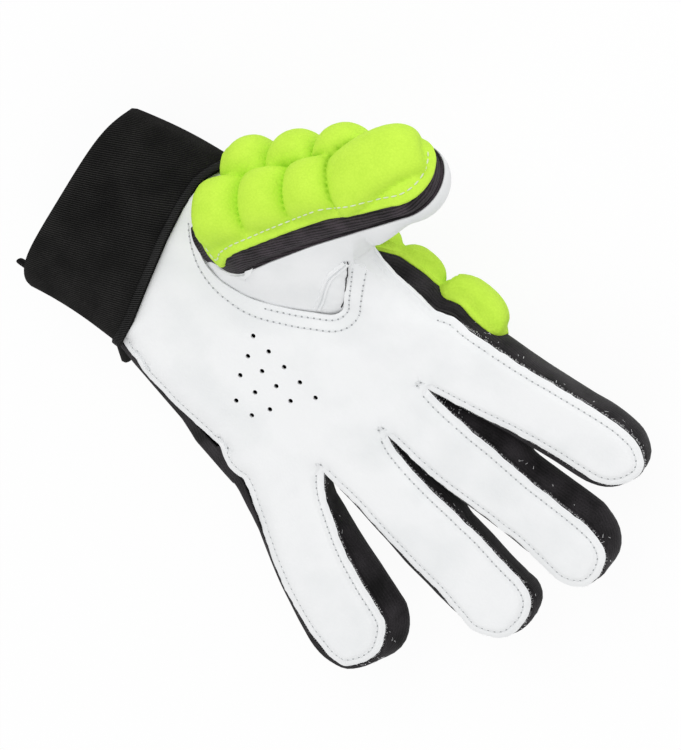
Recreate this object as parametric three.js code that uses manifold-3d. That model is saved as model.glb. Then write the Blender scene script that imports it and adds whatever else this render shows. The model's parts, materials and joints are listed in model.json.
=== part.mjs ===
// Field hockey glove for the left hand, lying palm up on its back pads. Millimetres, +Z up.
// +Y runs along the fingers and -X is the thumb's side.
// A hollow hand form is lofted, given a wall, and cut along its seams into the sewn panels.
// Every moving group has its origin on its hinge, and the hinge turns about the group's own X.

import * as THREE from 'three';
import { mergeVertices } from 'three/addons/utils/BufferGeometryUtils.js';
import Module from 'manifold-3d';

const wasm = await Module();
wasm.setup();

// Walls and clearances
const WALL = 1.8; // leather or knit with its lining
const SEAM_GAP = 0.4; // between two panels that are sewn edge to edge
const SEAT_GAP = 0.3; // between a piece and the one that it sits on

// Hand form: the wrist seam is at y = 0, and the middle finger's root is at y = PALM_LENGTH
const PALM_LENGTH = 101;
const WRIST_WIDTH = 82;
const WRIST_CENTRE = 4; // how far the wrist's centre lies towards the little finger
const PALM_WIDTH = 96; // half way up the palm
const PALM_CENTRE = 7;
const KNUCKLE_WIDTH = 112;
const KNUCKLE_CENTRE = 14;
const HAND_DEPTH = 26; // back to palm
const PALM_SQUARENESS = 3; // 2 is an ellipse, more is boxier
const PALM_SEAM_HEIGHT = 5; // leather edge above the hand's mid plane
const BACK_SEAM_DEPTH = 7; // back panel's edge below the hand's mid plane

// Fingers: x and setback place the root, turn is about +Z, root is the width at the knuckle, and
// joint is the middle joint's distance from the root
const FINGERS = {
  index: { x: -28.5, setback: 1.5, turn: 8.2, length: 79, width: 26, root: 23, joint: 28 },
  middle: { x: -2.1, setback: 0, turn: -2.6, length: 89, width: 24.5, root: 22, joint: 31 },
  ring: { x: 23.6, setback: 5, turn: -9.4, length: 84, width: 26.5, root: 22, joint: 29 },
  little: { x: 48.2, setback: 20.8, turn: -31, length: 68, width: 26, root: 21, joint: 24 },
};
const FINGER_DEPTH = 22;
const FINGER_SQUARENESS = 3.2;
const FINGER_FLARE = 10; // a finger widens from this far before its root to half as far after it
const FINGER_TIP_ROUND = 15; // length of the rounded tip
const TIP_NARROWING = 0.8; // under 1, a rounded tip stays wide for longer
const TIP_FLATTENING = 0.6; // the same for its depth
const FINGER_SEAM_HEIGHT = 5; // leather edge above the finger's axis
const FINGER_BACK_SEAM = 6; // back strip's edge below the finger's axis
const KNUCKLE_SLANT = 32; // the knuckle line leans back towards the wrist on the back of the hand
const ROOT_REACH = 24; // how far the finger's form runs back past its root

// Thumb: its form starts in the ball of the hand and leans out, up and over
const THUMB_X = -12.3;
const THUMB_Y = 5.2;
const THUMB_DROP = 6; // start of its axis below the palm's leather
const THUMB_SWING = 53.4; // degrees from +Y towards the thumb's side
const THUMB_RISE = 12.5;
const THUMB_TWIST = -44; // turns its back towards the wrist
const THUMB_LENGTH = 102;
const THUMB_START_ACROSS = 20;
const THUMB_START_DEPTH = 16;
const THUMB_BALL_ACROSS = 36;
const THUMB_BALL_DEPTH = 31;
const THUMB_BALL_AT = 22;
const THUMB_SWELL_AT = 11; // on the way to the ball of the thumb
const THUMB_SWELL = 0.8; // share of the growth that is reached there
const THUMB_JOINT_ACROSS = 31;
const THUMB_JOINT_DEPTH = 28;
const THUMB_JOINT_AT = 50;
const THUMB_END_ACROSS = 28;
const THUMB_END_DEPTH = 25;
const THUMB_TIP_JOINT_AT = 73;
const THUMB_TIP_ROUND = 15;
const THUMB_SQUARENESS = 2.4;
const THUMB_SEAM_HEIGHT = 3.4; // leather edge above the thumb's axis, towards its back
const THUMB_PAD_EDGE = 8.5; // lower edge of the pads above the thumb's axis
const THUMB_PAD_LEAN = 9; // the pads reach lower on the side away from the palm

// Web of leather that fills the corner from the thumb's front down to the palm. Its sections lie across
// the thumb and turn about its axis: x runs down the web, z is out of its face over the palm
const WEB_TURN = 72;
const WEB_SECTIONS = [
  { y: 6, x: 4, z: 5, across: 24, deep: 14 },
  { y: 18, x: 10, z: 7.6, across: 36, deep: 17.2 },
  { y: 32, x: 14, z: 7.6, across: 44, deep: 17.2 },
  { y: 43, x: 14.5, z: 7.2, across: 45, deep: 16.6 },
  { y: 50, x: 11, z: 6.2, across: 38, deep: 15.4 },
];
const WEB_SQUARENESS = 2.8;
const GUSSET_AT = 31; // a triangular patch in the web's lower corner starts here along the thumb
const GUSSET_DROP = 27; // and here below the thumb's axis
const GUSSET_SLANT = 48;
const GUSSET_EDGE = 14; // and keeps to the web's face over the palm

// Padding: a foam sheet with raised cells under a stitched cover, crowns resting on the table
const PAD_HEIGHT = 10; // back of the hand above the table
const COVER = 1.2;
const FOAM_SHEET = 1.2;
const FLANGE = 2.8; // flat sewn edge of the cover round the cells
const FINGER_FLANGE = 1.4; // the same at a finger's sides, where its neighbour is close
const FOAM_SHARE = 0.5; // foam sheet's reach past the cells, as a share of the sewn edge
const PAD_WRAP = 4; // how far the sewn edge climbs the sides of the hand and fingers
const PAD_SQUARENESS = 2.6;
const PAD_PROFILE = [[0, 0.95], [0.3, 1], [0.62, 0.93], [0.87, 0.75], [1, 0.5]]; // height, spread
const CORE_PROFILE = [[0, 0.95], [0.55, 0.95], [1, 0.5]]; // the foam inside, with fewer facets
const PAD_ROOT = 9; // how far a cell runs up past the surface that it is cut from
const HAND_CELL_LENGTH = 19;
const HAND_CELL_ROWS = [29.5, 49.5]; // distances from the finger's root to the cells' middles
const HAND_CELLS = {
  index: { turn: 0, shift: -3.5, width: 28 },
  middle: { turn: 0, shift: -1.5, width: 24 },
  ring: { turn: -8, shift: 0, width: 22 },
  little: { turn: -18, shift: 0, width: 22 },
};
const FINGER_CELL_LENGTH = 24;
const FINGER_CELL_AT = -0.5;
const FINGER_CELL_EXTRA = { index: 4, middle: 0, ring: 0, little: 0 }; // reach past the thumb side
const THUMB_CELL_RISE = 10.4;
// Two staggered rows of cells and one across the tip: place along the thumb, tilt from the middle of its
// back, and turn on the spot
const THUMB_CELLS = {
  root: [
    { at: 19, tilt: 6, length: 20.4, width: 19 },
    { at: 38.4, tilt: 5, length: 18.6, width: 17.4 },
    { at: 27, tilt: -54, length: 19.6, width: 15 },
    { at: 47, tilt: -53, length: 20, width: 14.4 },
  ],
  base: [
    { at: 57.6, tilt: 4, length: 19.4, width: 16.6 },
    { at: 66.4, tilt: -52, length: 19, width: 13.6 },
  ],
  tip: [{ at: 82.8, tilt: -4, length: 33, width: 23, turn: 18 }],
};
const THUMB_PAD_PARTS = [48.9, 69.6]; // where the cover parts at the two joints, along the thumb
const THUMB_PAD_SLANT = 33; // it parts between staggered cells

// Cuff
const CUFF_LENGTH = 41;
const CUFF_END_WIDTH = 74;
const CUFF_END_CENTRE = 8;
const CUFF_DEPTH = 29;
const CUFF_SQUARENESS = 2.5;
const BINDING_WIDTH = 3;
const BINDING_THICKNESS = 1;
const TAB_LENGTH = 10;
const TAB_WIDTH = 7;
const TAB_THICKNESS = 1.6;
const TAB_HOLD = 5; // length of the tab that is sewn to the cuff
const TAIL_LENGTH = 9; // loose corner of the side seam
const TAIL_WIDTH = 10;
const TAIL_THICKNESS = 1.4;

// Vent holes in the palm: rows that shorten by one hole towards the little finger
const VENT_ROWS = 4;
const VENT_LONGEST = 5;
const VENT_PITCH = 7.6;
const VENT_RADIUS = 0.8;
const VENT_X = 9;
const VENT_Y = 56.5;

// Fineness of the facets
const SIDES = 20;
const CELL_SIDES = 12;
const CORE_SIDES = 8;
const TIP_RINGS = 4;
const TIP_BLUNT = 0.4; // part of a ring by which a rounded tip ends short of a point
const PALM_RINGS = 5;
const HOLE_SIDES = 6;
const FAR = 400; // larger than the glove: reach of the cutting blocks

// Finishes
const LEATHER = new THREE.MeshStandardMaterial({ color: '#e9ebeb', roughness: 0.6, metalness: 0 });
const KNIT = new THREE.MeshStandardMaterial({ color: '#1e1d1d', roughness: 0.9, metalness: 0 });
const ELASTIC = new THREE.MeshStandardMaterial({ color: '#151414', roughness: 0.85, metalness: 0 });
const NEON = new THREE.MeshStandardMaterial({ color: '#c9f23f', roughness: 0.7, metalness: 0 });
const FOAM = new THREE.MeshStandardMaterial({ color: '#d8d6cc', roughness: 0.95, metalness: 0 });

const degrees = THREE.MathUtils.degToRad;
const lerp = THREE.MathUtils.lerp;
const PALM_TOP = PAD_HEIGHT + HAND_DEPTH;
const HAND_MIDDLE = PAD_HEIGHT + HAND_DEPTH / 2;

// Solids and booleans
function solid(geometry) {
  const bare = geometry.clone();
  bare.deleteAttribute('normal');
  bare.deleteAttribute('uv');
  const merged = mergeVertices(bare);
  const vertProperties = new Float32Array(merged.attributes.position.array);
  const triVerts = new Uint32Array(merged.index.array);
  return new wasm.Manifold(new wasm.Mesh({ numProp: 3, vertProperties, triVerts }));
}

function join(solids) {
  return solids.reduce((whole, next) => whole.add(next));
}

function place(name, shape, material, group, origin = new THREE.Vector3()) {
  const { vertProperties, triVerts } = shape.getMesh();
  const geometry = new THREE.BufferGeometry();
  geometry.setAttribute('position', new THREE.BufferAttribute(vertProperties, 3));
  geometry.setIndex(new THREE.BufferAttribute(triVerts, 1));
  geometry.translate(-origin.x, -origin.y, -origin.z);
  geometry.computeVertexNormals();
  const mesh = new THREE.Mesh(geometry, material);
  mesh.name = name;
  group.add(mesh);
}

// Closed form through superellipse sections whose middles follow Y
function loft(sections, squareness, sides = SIDES) {
  const bend = (value) => Math.sign(value) * Math.abs(value) ** (2 / squareness);
  const points = [];
  const faces = [];
  for (const { x = 0, y, z = 0, across, deep } of sections) {
    for (let i = 0; i < sides; i += 1) {
      const angle = (2 * Math.PI * i) / sides;
      points.push(x + across * bend(Math.cos(angle)), y, z + deep * bend(Math.sin(angle)));
    }
  }
  for (let ring = 0; ring < sections.length - 1; ring += 1) {
    for (let i = 0; i < sides; i += 1) {
      const a = ring * sides + i;
      const b = ring * sides + ((i + 1) % sides);
      faces.push(a, a + sides, b, b, a + sides, b + sides);
    }
  }
  const start = points.length / 3;
  const lastRing = start - sides;
  for (const { x = 0, y, z = 0 } of [sections[0], sections[sections.length - 1]]) {
    points.push(x, y, z);
  }
  for (let i = 0; i < sides; i += 1) {
    const next = (i + 1) % sides;
    faces.push(start, i, next, start + 1, lastRing + next, lastRing + i);
  }
  const geometry = new THREE.BufferGeometry();
  geometry.setAttribute('position', new THREE.Float32BufferAttribute(points, 3));
  geometry.setIndex(faces);
  return geometry;
}

// Large block that fills the side of a plane that the normal points to
function beyond(point, normal) {
  const turn = new THREE.Quaternion().setFromUnitVectors(new THREE.Vector3(0, 1, 0), normal);
  const block = new THREE.BoxGeometry(FAR, FAR, FAR).translate(0, FAR / 2, 0);
  return solid(block.applyQuaternion(turn).translate(point.x, point.y, point.z));
}

const above = (z) => beyond(new THREE.Vector3(0, 0, z), new THREE.Vector3(0, 0, 1));
const below = (z) => beyond(new THREE.Vector3(0, 0, z), new THREE.Vector3(0, 0, -1));
const after = (y) => beyond(new THREE.Vector3(0, y, 0), new THREE.Vector3(0, 1, 0));
const before = (y) => beyond(new THREE.Vector3(0, y, 0), new THREE.Vector3(0, -1, 0));
const leftOf = (x) => beyond(new THREE.Vector3(x, 0, 0), new THREE.Vector3(-1, 0, 0));
const rightOf = (x) => beyond(new THREE.Vector3(x, 0, 0), new THREE.Vector3(1, 0, 0));

// Value of the curve through a, b and c at the start, middle and end
function through(a, b, c, t) {
  return a * (1 - t) * (1 - 2 * t) + b * 4 * t * (1 - t) + c * t * (2 * t - 1);
}

// Hand form from the wrist seam to past the knuckles, grown or shrunk by an offset
function palmForm(offset, startY = 0) {
  const sections = [];
  const end = PALM_LENGTH + FINGER_FLARE;
  for (let i = 0; i <= PALM_RINGS; i += 1) {
    const t = i / PALM_RINGS;
    const y = i === 0 ? startY : end * t;
    const across = through(WRIST_WIDTH, PALM_WIDTH, KNUCKLE_WIDTH, t) / 2 + offset;
    const x = through(WRIST_CENTRE, PALM_CENTRE, KNUCKLE_CENTRE, t);
    sections.push({ x, y, z: HAND_MIDDLE, across, deep: HAND_DEPTH / 2 + offset });
  }
  return loft(sections, PALM_SQUARENESS);
}

// Finger form in its own frame: root hinge at the origin, leather at z = 0
function fingerForm(finger, offset, startY = -ROOT_REACH) {
  const root = finger.root / 2 + offset;
  const full = finger.width / 2 + offset;
  const deep = FINGER_DEPTH / 2 + offset;
  const z = -FINGER_DEPTH / 2;
  const tipStart = finger.length - FINGER_TIP_ROUND;
  const sections = [
    { y: startY, z, across: root, deep },
    { y: -FINGER_FLARE, z, across: root, deep },
    { y: FINGER_FLARE / 2, z, across: full, deep },
    { y: tipStart, z, across: full, deep },
  ];
  return loft(sections.concat(tipSections(tipStart, FINGER_TIP_ROUND + offset, z, full, deep)),
    FINGER_SQUARENESS);
}

// Rounded end: sections that shrink along a quarter circle
function tipSections(start, reach, z, across, deep) {
  return Array.from({ length: TIP_RINGS }, (_, i) => {
    const angle = ((i + 1) / (TIP_RINGS + TIP_BLUNT)) * (Math.PI / 2);
    return {
      y: start + reach * Math.sin(angle),
      z,
      across: across * Math.cos(angle) ** TIP_NARROWING,
      deep: deep * Math.cos(angle) ** TIP_FLATTENING,
    };
  });
}

// Thumb form in its own frame: axis along Y from the ball of the hand, back of the thumb up
const THUMB_TIP_START = THUMB_LENGTH - THUMB_TIP_ROUND;
const THUMB_SECTIONS = [
  { y: 0, across: THUMB_START_ACROSS, deep: THUMB_START_DEPTH },
  { y: THUMB_SWELL_AT, across: lerp(THUMB_START_ACROSS, THUMB_BALL_ACROSS, THUMB_SWELL),
    deep: lerp(THUMB_START_DEPTH, THUMB_BALL_DEPTH, THUMB_SWELL) },
  { y: THUMB_BALL_AT, across: THUMB_BALL_ACROSS, deep: THUMB_BALL_DEPTH },
  { y: THUMB_JOINT_AT, across: THUMB_JOINT_ACROSS, deep: THUMB_JOINT_DEPTH },
  { y: THUMB_TIP_START, across: THUMB_END_ACROSS, deep: THUMB_END_DEPTH },
];

function thumbForm(offset) {
  const sections = THUMB_SECTIONS.map(({ y, across, deep }) => (
    { y: y === 0 ? -offset : y, across: across / 2 + offset, deep: deep / 2 + offset }));
  return loft(sections.concat(tipSections(THUMB_TIP_START, THUMB_TIP_ROUND + offset, 0,
    THUMB_END_ACROSS / 2 + offset, THUMB_END_DEPTH / 2 + offset)), THUMB_SQUARENESS);
}

function webForm(offset) {
  const last = WEB_SECTIONS.length - 1;
  return loft(WEB_SECTIONS.map(({ x, y, z, across, deep }, i) => {
    const end = (i === last) - (i === 0);
    return { x, y: y + end * offset, z, across: across / 2 + offset, deep: deep / 2 + offset };
  }), WEB_SQUARENESS).rotateY(degrees(WEB_TURN));
}

// The thumb with its web
const thumbSolid = (offset) => solid(thumbForm(offset)).add(solid(webForm(offset)));

// Half of one of the thumb's widths at a distance along its axis
function thumbHalf(width, y) {
  const next = THUMB_SECTIONS.findIndex((section) => section.y >= y);
  const [from, to] = [THUMB_SECTIONS[next - 1], THUMB_SECTIONS[next]];
  return lerp(from[width], to[width], (y - from.y) / (to.y - from.y)) / 2;
}

const thumbHalfDepth = (y) => thumbHalf('deep', y);

// Distance of the thumb's surface from its axis, tilted from the middle of its back
function thumbRadius(y, tilt) {
  const across = Math.abs(Math.sin(degrees(tilt))) / thumbHalf('across', y);
  const deep = Math.cos(degrees(tilt)) / thumbHalf('deep', y);
  return (across ** THUMB_SQUARENESS + deep ** THUMB_SQUARENESS) ** (-1 / THUMB_SQUARENESS);
}

// Cuff form from its mouth to the wrist seam
function cuffForm(offset, startY, endY) {
  return loft([startY, endY].map((y) => {
    const share = -y / CUFF_LENGTH;
    return {
      x: lerp(WRIST_CENTRE, CUFF_END_CENTRE, share),
      y,
      z: HAND_MIDDLE,
      across: lerp(WRIST_WIDTH, CUFF_END_WIDTH, share) / 2 + offset,
      deep: CUFF_DEPTH / 2 + offset,
    };
  }), CUFF_SQUARENESS);
}

// One raised cell: base on the XY plane, crown towards +Z, shrunk all round by an inset
function cellDome(cell, inset, profile, sides) {
  const across = cell.width / 2 - inset;
  const deep = cell.length / 2 - inset;
  const rise = cell.rise - inset;
  const [, rootSpread] = profile[0];
  const sections = [{ y: -PAD_ROOT, across: across * rootSpread, deep: deep * rootSpread }];
  for (const [height, spread] of profile) {
    sections.push({ y: rise * height, across: across * spread, deep: deep * spread });
  }
  return solid(loft(sections, PAD_SQUARENESS, sides).rotateX(Math.PI / 2)
    .applyMatrix4(cell.matrix));
}

// Footprint of a cell with its sewn edge, as a block through the surface
function cellFootprint(cell, share, grow) {
  const width = cell.width + 2 * (share * cell.flange + grow);
  const length = cell.length + 2 * (share * FLANGE + grow);
  return solid(new THREE.BoxGeometry(width, length, 2 * PAD_ROOT).applyMatrix4(cell.matrix));
}

// Foam with its cells and the cover sewn over it, seated on a form
function padStack(form, cells) {
  const foamTop = SEAT_GAP + FOAM_SHEET;
  const coverTop = foamTop + SEAT_GAP + COVER;
  const domes = join(cells.map((cell) => cellDome(cell, 0, PAD_PROFILE, CELL_SIDES)));
  const cores = (inset) => join(cells.map((cell) => cellDome(cell, inset, CORE_PROFILE, CORE_SIDES)));
  const footprint = (share, grow) => join(cells.map((cell) => cellFootprint(cell, share, grow)));
  const seat = solid(form(SEAT_GAP));
  const layer = solid(form(foamTop + SEAT_GAP)).intersect(footprint(FOAM_SHARE, SEAT_GAP));
  const pocket = layer.add(cores(COVER));
  const cover = solid(form(coverTop)).intersect(footprint(1, 0)).add(domes);
  const sheet = solid(form(foamTop)).intersect(footprint(FOAM_SHARE, 0));
  return {
    cover: cover.subtract(pocket).subtract(seat),
    foam: sheet.add(cores(COVER + SEAT_GAP)).subtract(seat),
  };
}

const glove = new THREE.Group();
const hand = new THREE.Group();
hand.name = 'hand';
glove.add(hand);

// Planes that part the fingers from the hand, leaning back on the back of the hand
const slant = degrees(KNUCKLE_SLANT);
const slantNormal = new THREE.Vector3(0, Math.cos(slant), -Math.sin(slant));

// Fingers
function fingerGroup(name, finger) {
  const group = new THREE.Group();
  group.name = `${name}_base`;
  group.position.set(finger.x, PALM_LENGTH - finger.setback, PALM_TOP);
  group.rotation.z = degrees(finger.turn);
  group.updateMatrix();
  return group;
}

function fingerCell(name, finger) {
  const back = -FINGER_DEPTH;
  const matrix = new THREE.Matrix4().makeRotationY(Math.PI);
  const extra = FINGER_CELL_EXTRA[name];
  matrix.setPosition(-extra / 2, FINGER_CELL_AT, back);
  const rise = PALM_TOP - FINGER_DEPTH;
  const width = finger.root + extra - 2 * FINGER_FLANGE;
  return { width, length: FINGER_CELL_LENGTH, flange: FINGER_FLANGE, rise, matrix };
}

function addFinger(name, finger) {
  const base = fingerGroup(name, finger);
  const tip = new THREE.Group();
  tip.name = `${name}_tip`;
  tip.position.y = finger.joint;
  base.add(tip);
  hand.add(base);

  const hollow = solid(fingerForm(finger, -WALL, -ROOT_REACH - WALL));
  const shell = solid(fingerForm(finger, 0)).subtract(hollow);
  const half = SEAM_GAP / 2;
  const leatherEdge = FINGER_SEAM_HEIGHT - FINGER_DEPTH / 2;
  const backEdge = -FINGER_BACK_SEAM - FINGER_DEPTH / 2;

  const rootSide = beyond(slantNormal.clone().multiplyScalar(half), slantNormal);
  const near = shell.intersect(rootSide).intersect(before(finger.joint - half));
  const sides = near.intersect(below(leatherEdge - half)).intersect(above(backEdge + half));
  place(`${name}_base_leather`, near.intersect(above(leatherEdge + half)), LEATHER, base);
  place(`${name}_base_back`, near.intersect(below(backEdge - half)), KNIT, base);
  place(`${name}_fourchette_thumb_side`, sides.intersect(leftOf(0)), KNIT, base);
  place(`${name}_fourchette_outer_side`, sides.intersect(rightOf(0)), KNIT, base);

  const { cover, foam } = padStack((offset) => fingerForm(finger, offset), [fingerCell(name, finger)]);
  const underside = below(PAD_WRAP - FINGER_DEPTH).intersect(rootSide);
  place(`${name}_knuckle_pad_cover`, cover.intersect(underside), NEON, base);
  place(`${name}_knuckle_pad_foam`, foam.intersect(underside), FOAM, base);

  const far = shell.intersect(after(finger.joint + half));
  place(`${name}_tip_leather`, far.intersect(above(leatherEdge + half)), LEATHER, tip, tip.position);
  place(`${name}_tip_knit`, far.intersect(below(leatherEdge - half)), KNIT, tip, tip.position);
  return base;
}

const fingerGroups = Object.entries(FINGERS).map(([name, finger]) => addFinger(name, finger));

// Thumb frame: hangs in the hand, with its axis along its own Y
const thumb = new THREE.Group();
thumb.position.set(THUMB_X, THUMB_Y, PALM_TOP - THUMB_DROP);
thumb.rotation.set(degrees(THUMB_RISE), degrees(THUMB_TWIST), degrees(THUMB_SWING), 'ZXY');
thumb.updateMatrix();
hand.add(thumb);

function thumbCell({ at, tilt, length, width, turn = 0 }) {
  const matrix = new THREE.Matrix4().makeRotationY(degrees(tilt));
  matrix.multiply(new THREE.Matrix4().makeTranslation(0, at, thumbRadius(at, tilt)));
  matrix.multiply(new THREE.Matrix4().makeRotationZ(degrees(turn)));
  return { width, length, flange: FLANGE, rise: THUMB_CELL_RISE, matrix };
}

// Moving group with its hinge on the front of the thumb
function thumbGroup(name, hinge, parent, parentHinge) {
  const group = new THREE.Group();
  group.name = name;
  group.position.subVectors(hinge, parentHinge);
  parent.add(group);
  return group;
}

function addThumb() {
  const half = SEAM_GAP / 2;
  const shell = thumbSolid(0).subtract(thumbSolid(-WALL));
  const toThumb = thumb.matrix.clone().invert();
  const cuffClearance = 2 * SEAT_GAP + BINDING_THICKNESS;
  const cuffInThumb = solid(cuffForm(cuffClearance, -CUFF_LENGTH, SEAT_GAP).applyMatrix4(toThumb));
  const handInThumb = solid(palmForm(SEAT_GAP).applyMatrix4(toThumb)).add(cuffInThumb);

  const start = new THREE.Vector3();
  const hinge = new THREE.Vector3(0, THUMB_JOINT_AT, -thumbHalfDepth(THUMB_JOINT_AT));
  const tipHinge = new THREE.Vector3(0, THUMB_TIP_JOINT_AT, -thumbHalfDepth(THUMB_TIP_JOINT_AT));
  const base = thumbGroup('thumb_base', hinge, thumb, start);
  const tip = thumbGroup('thumb_tip', tipHinge, base, hinge);

  const front = below(THUMB_SEAM_HEIGHT - half);
  const back = above(THUMB_SEAM_HEIGHT + half);
  const rootRoom = before(THUMB_JOINT_AT - half).subtract(handInThumb);
  const gussetTurn = degrees(GUSSET_SLANT);
  const gussetNormal = new THREE.Vector3(0, Math.cos(gussetTurn), -Math.sin(gussetTurn));
  const gussetCorner = new THREE.Vector3(0, GUSSET_AT, -GUSSET_DROP);
  const gussetRoom = (gap) => beyond(gussetCorner.clone().addScaledVector(gussetNormal, gap), gussetNormal)
    .intersect(rightOf(GUSSET_EDGE + gap));
  place('thumb_gusset', shell.intersect(rootRoom).intersect(gussetRoom(half)), LEATHER, thumb);

  const slant = degrees(THUMB_PAD_SLANT);
  const padNormal = new THREE.Vector3(Math.sin(slant), Math.cos(slant), 0);
  const padAfter = (at) => beyond(new THREE.Vector3(0, at + half, 0), padNormal);
  const padBefore = (at) => beyond(new THREE.Vector3(0, at - half, 0), padNormal.clone().negate());
  const lean = degrees(THUMB_PAD_LEAN);
  const padSide = beyond(new THREE.Vector3(0, 0, THUMB_PAD_EDGE),
    new THREE.Vector3(-Math.sin(lean), 0, Math.cos(lean)));
  const [rootEnd, baseEnd] = THUMB_PAD_PARTS;
  const stretches = [
    { name: 'thumb_root', group: thumb, origin: start, leather: front.subtract(gussetRoom(-half)),
      room: rootRoom, padRoom: padBefore(rootEnd).subtract(handInThumb), cells: THUMB_CELLS.root },
    { name: 'thumb_base', group: base, origin: hinge, leather: front,
      room: after(THUMB_JOINT_AT + half).intersect(before(THUMB_TIP_JOINT_AT - half)),
      padRoom: padAfter(rootEnd).intersect(padBefore(baseEnd)), cells: THUMB_CELLS.base },
    { name: 'thumb_tip', group: tip, origin: tipHinge, leather: front,
      room: after(THUMB_TIP_JOINT_AT + half), padRoom: padAfter(baseEnd), cells: THUMB_CELLS.tip },
  ];
  for (const { name, group, origin, room, leather, padRoom, cells } of stretches) {
    const piece = shell.intersect(room);
    const { cover, foam } = padStack(thumbForm, cells.map(thumbCell));
    const padded = padRoom.intersect(padSide);
    place(`${name}_leather`, piece.intersect(leather), LEATHER, group, origin);
    place(`${name}_knit`, piece.intersect(back), KNIT, group, origin);
    place(`${name}_pad_cover`, cover.intersect(padded), NEON, group, origin);
    place(`${name}_pad_foam`, foam.intersect(padded), FOAM, group, origin);
  }
}

addThumb();

// Hand panels: palm leather with its vents, back, and the two side strips
function ventHoles() {
  const holes = [];
  for (let row = 0; row < VENT_ROWS; row += 1) {
    const count = VENT_LONGEST - row;
    for (let i = 0; i < count; i += 1) {
      const hole = new THREE.CylinderGeometry(VENT_RADIUS, VENT_RADIUS, HAND_DEPTH, HOLE_SIDES);
      hole.rotateX(Math.PI / 2);
      hole.translate(VENT_X + row * VENT_PITCH, VENT_Y + (i - (count - 1) / 2) * VENT_PITCH, PALM_TOP);
      holes.push(solid(hole));
    }
  }
  return join(holes);
}

function addHand() {
  const half = SEAM_GAP / 2;
  const hollow = solid(palmForm(-WALL, -WALL));
  let shell = solid(palmForm(0)).subtract(hollow);
  for (const group of fingerGroups) {
    const normal = slantNormal.clone().applyQuaternion(group.quaternion);
    const point = group.position.clone().addScaledVector(normal, -half);
    shell = shell.subtract(beyond(point, normal));
  }
  for (const form of [thumbForm, webForm]) {
    shell = shell.subtract(solid(form(-WALL).applyMatrix4(thumb.matrix)));
  }
  const leatherEdge = HAND_MIDDLE + PALM_SEAM_HEIGHT;
  const backEdge = HAND_MIDDLE - BACK_SEAM_DEPTH;
  const sides = shell.intersect(below(leatherEdge - half)).intersect(above(backEdge + half));
  place('palm_leather', shell.intersect(above(leatherEdge + half)).subtract(ventHoles()), LEATHER, hand);
  place('hand_back', shell.intersect(below(backEdge - half)), KNIT, hand);
  place('thumb_side_strip', sides.intersect(leftOf(PALM_CENTRE)), KNIT, hand);
  place('outer_side_strip', sides.intersect(rightOf(PALM_CENTRE)), KNIT, hand);
}

function handCells() {
  return Object.entries(HAND_CELLS).flatMap(([name, { turn, shift, width }]) => {
    const finger = FINGERS[name];
    return HAND_CELL_ROWS.map((distance) => {
      const matrix = new THREE.Matrix4().makeTranslation(finger.x, PALM_LENGTH - finger.setback, PAD_HEIGHT);
      matrix.multiply(new THREE.Matrix4().makeRotationZ(degrees(turn)));
      matrix.multiply(new THREE.Matrix4().makeTranslation(shift, -distance, 0));
      matrix.multiply(new THREE.Matrix4().makeRotationY(Math.PI));
      return { width, length: HAND_CELL_LENGTH, flange: FLANGE, rise: PAD_HEIGHT, matrix };
    });
  });
}

function addHandPad() {
  const { cover, foam } = padStack((offset) => palmForm(offset), handCells());
  const underside = below(PAD_HEIGHT + PAD_WRAP);
  place('hand_pad_cover', cover.intersect(underside), NEON, hand);
  place('hand_pad_foam', foam.intersect(underside), FOAM, hand);
}

// Cuff: elastic tube, binding over its seam, pull tab at the mouth and the seam's loose tail
function addCuff() {
  const mouth = -CUFF_LENGTH;
  const tube = solid(cuffForm(0, mouth, -SEAM_GAP));
  const bore = solid(cuffForm(-WALL, mouth - WALL, WALL));
  place('cuff_elastic', tube.subtract(bore), ELASTIC, hand);

  const outer = solid(cuffForm(SEAT_GAP + BINDING_THICKNESS, mouth, -SEAM_GAP));
  const seat = solid(cuffForm(SEAT_GAP, mouth - WALL, WALL));
  const band = after(-BINDING_WIDTH - SEAM_GAP).intersect(outer);
  place('wrist_binding', band.subtract(seat), KNIT, hand);

  const tab = new THREE.BoxGeometry(TAB_THICKNESS, TAB_LENGTH, TAB_WIDTH);
  const tabX = CUFF_END_CENTRE + CUFF_END_WIDTH / 2 + SEAT_GAP + TAB_THICKNESS / 2;
  tab.translate(tabX, mouth + TAB_HOLD - TAB_LENGTH / 2, HAND_MIDDLE);
  place('cuff_pull_tab', solid(tab).subtract(seat), KNIT, hand);

  const corner = new THREE.Shape();
  corner.moveTo(0, 0);
  corner.lineTo(TAIL_LENGTH, TAIL_WIDTH / 2);
  corner.lineTo(0, TAIL_WIDTH);
  const tail = new THREE.ExtrudeGeometry(corner, { depth: TAIL_THICKNESS, bevelEnabled: false });
  tail.translate(WRIST_CENTRE + WRIST_WIDTH / 2, SEAM_GAP, HAND_MIDDLE - TAIL_THICKNESS / 2);
  place('side_seam_tail', solid(tail).subtract(solid(palmForm(SEAT_GAP))), KNIT, hand);
}

addHand();
addHandPad();
addCuff();

// Stand the glove on the table with its box centred on the origin
const box = new THREE.Box3().setFromObject(glove, true);
glove.position.set(-(box.min.x + box.max.x) / 2, -(box.min.y + box.max.y) / 2, -box.min.z);
glove.updateMatrixWorld(true);

export default glove;
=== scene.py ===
import json
import math
import random

import bmesh
import bpy
import numpy as np
from mathutils import Matrix, Vector, noise
from mathutils.bvhtree import BVHTree
from mathutils.geometry import delaunay_2d_cdt
from mathutils.kdtree import KDTree


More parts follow.
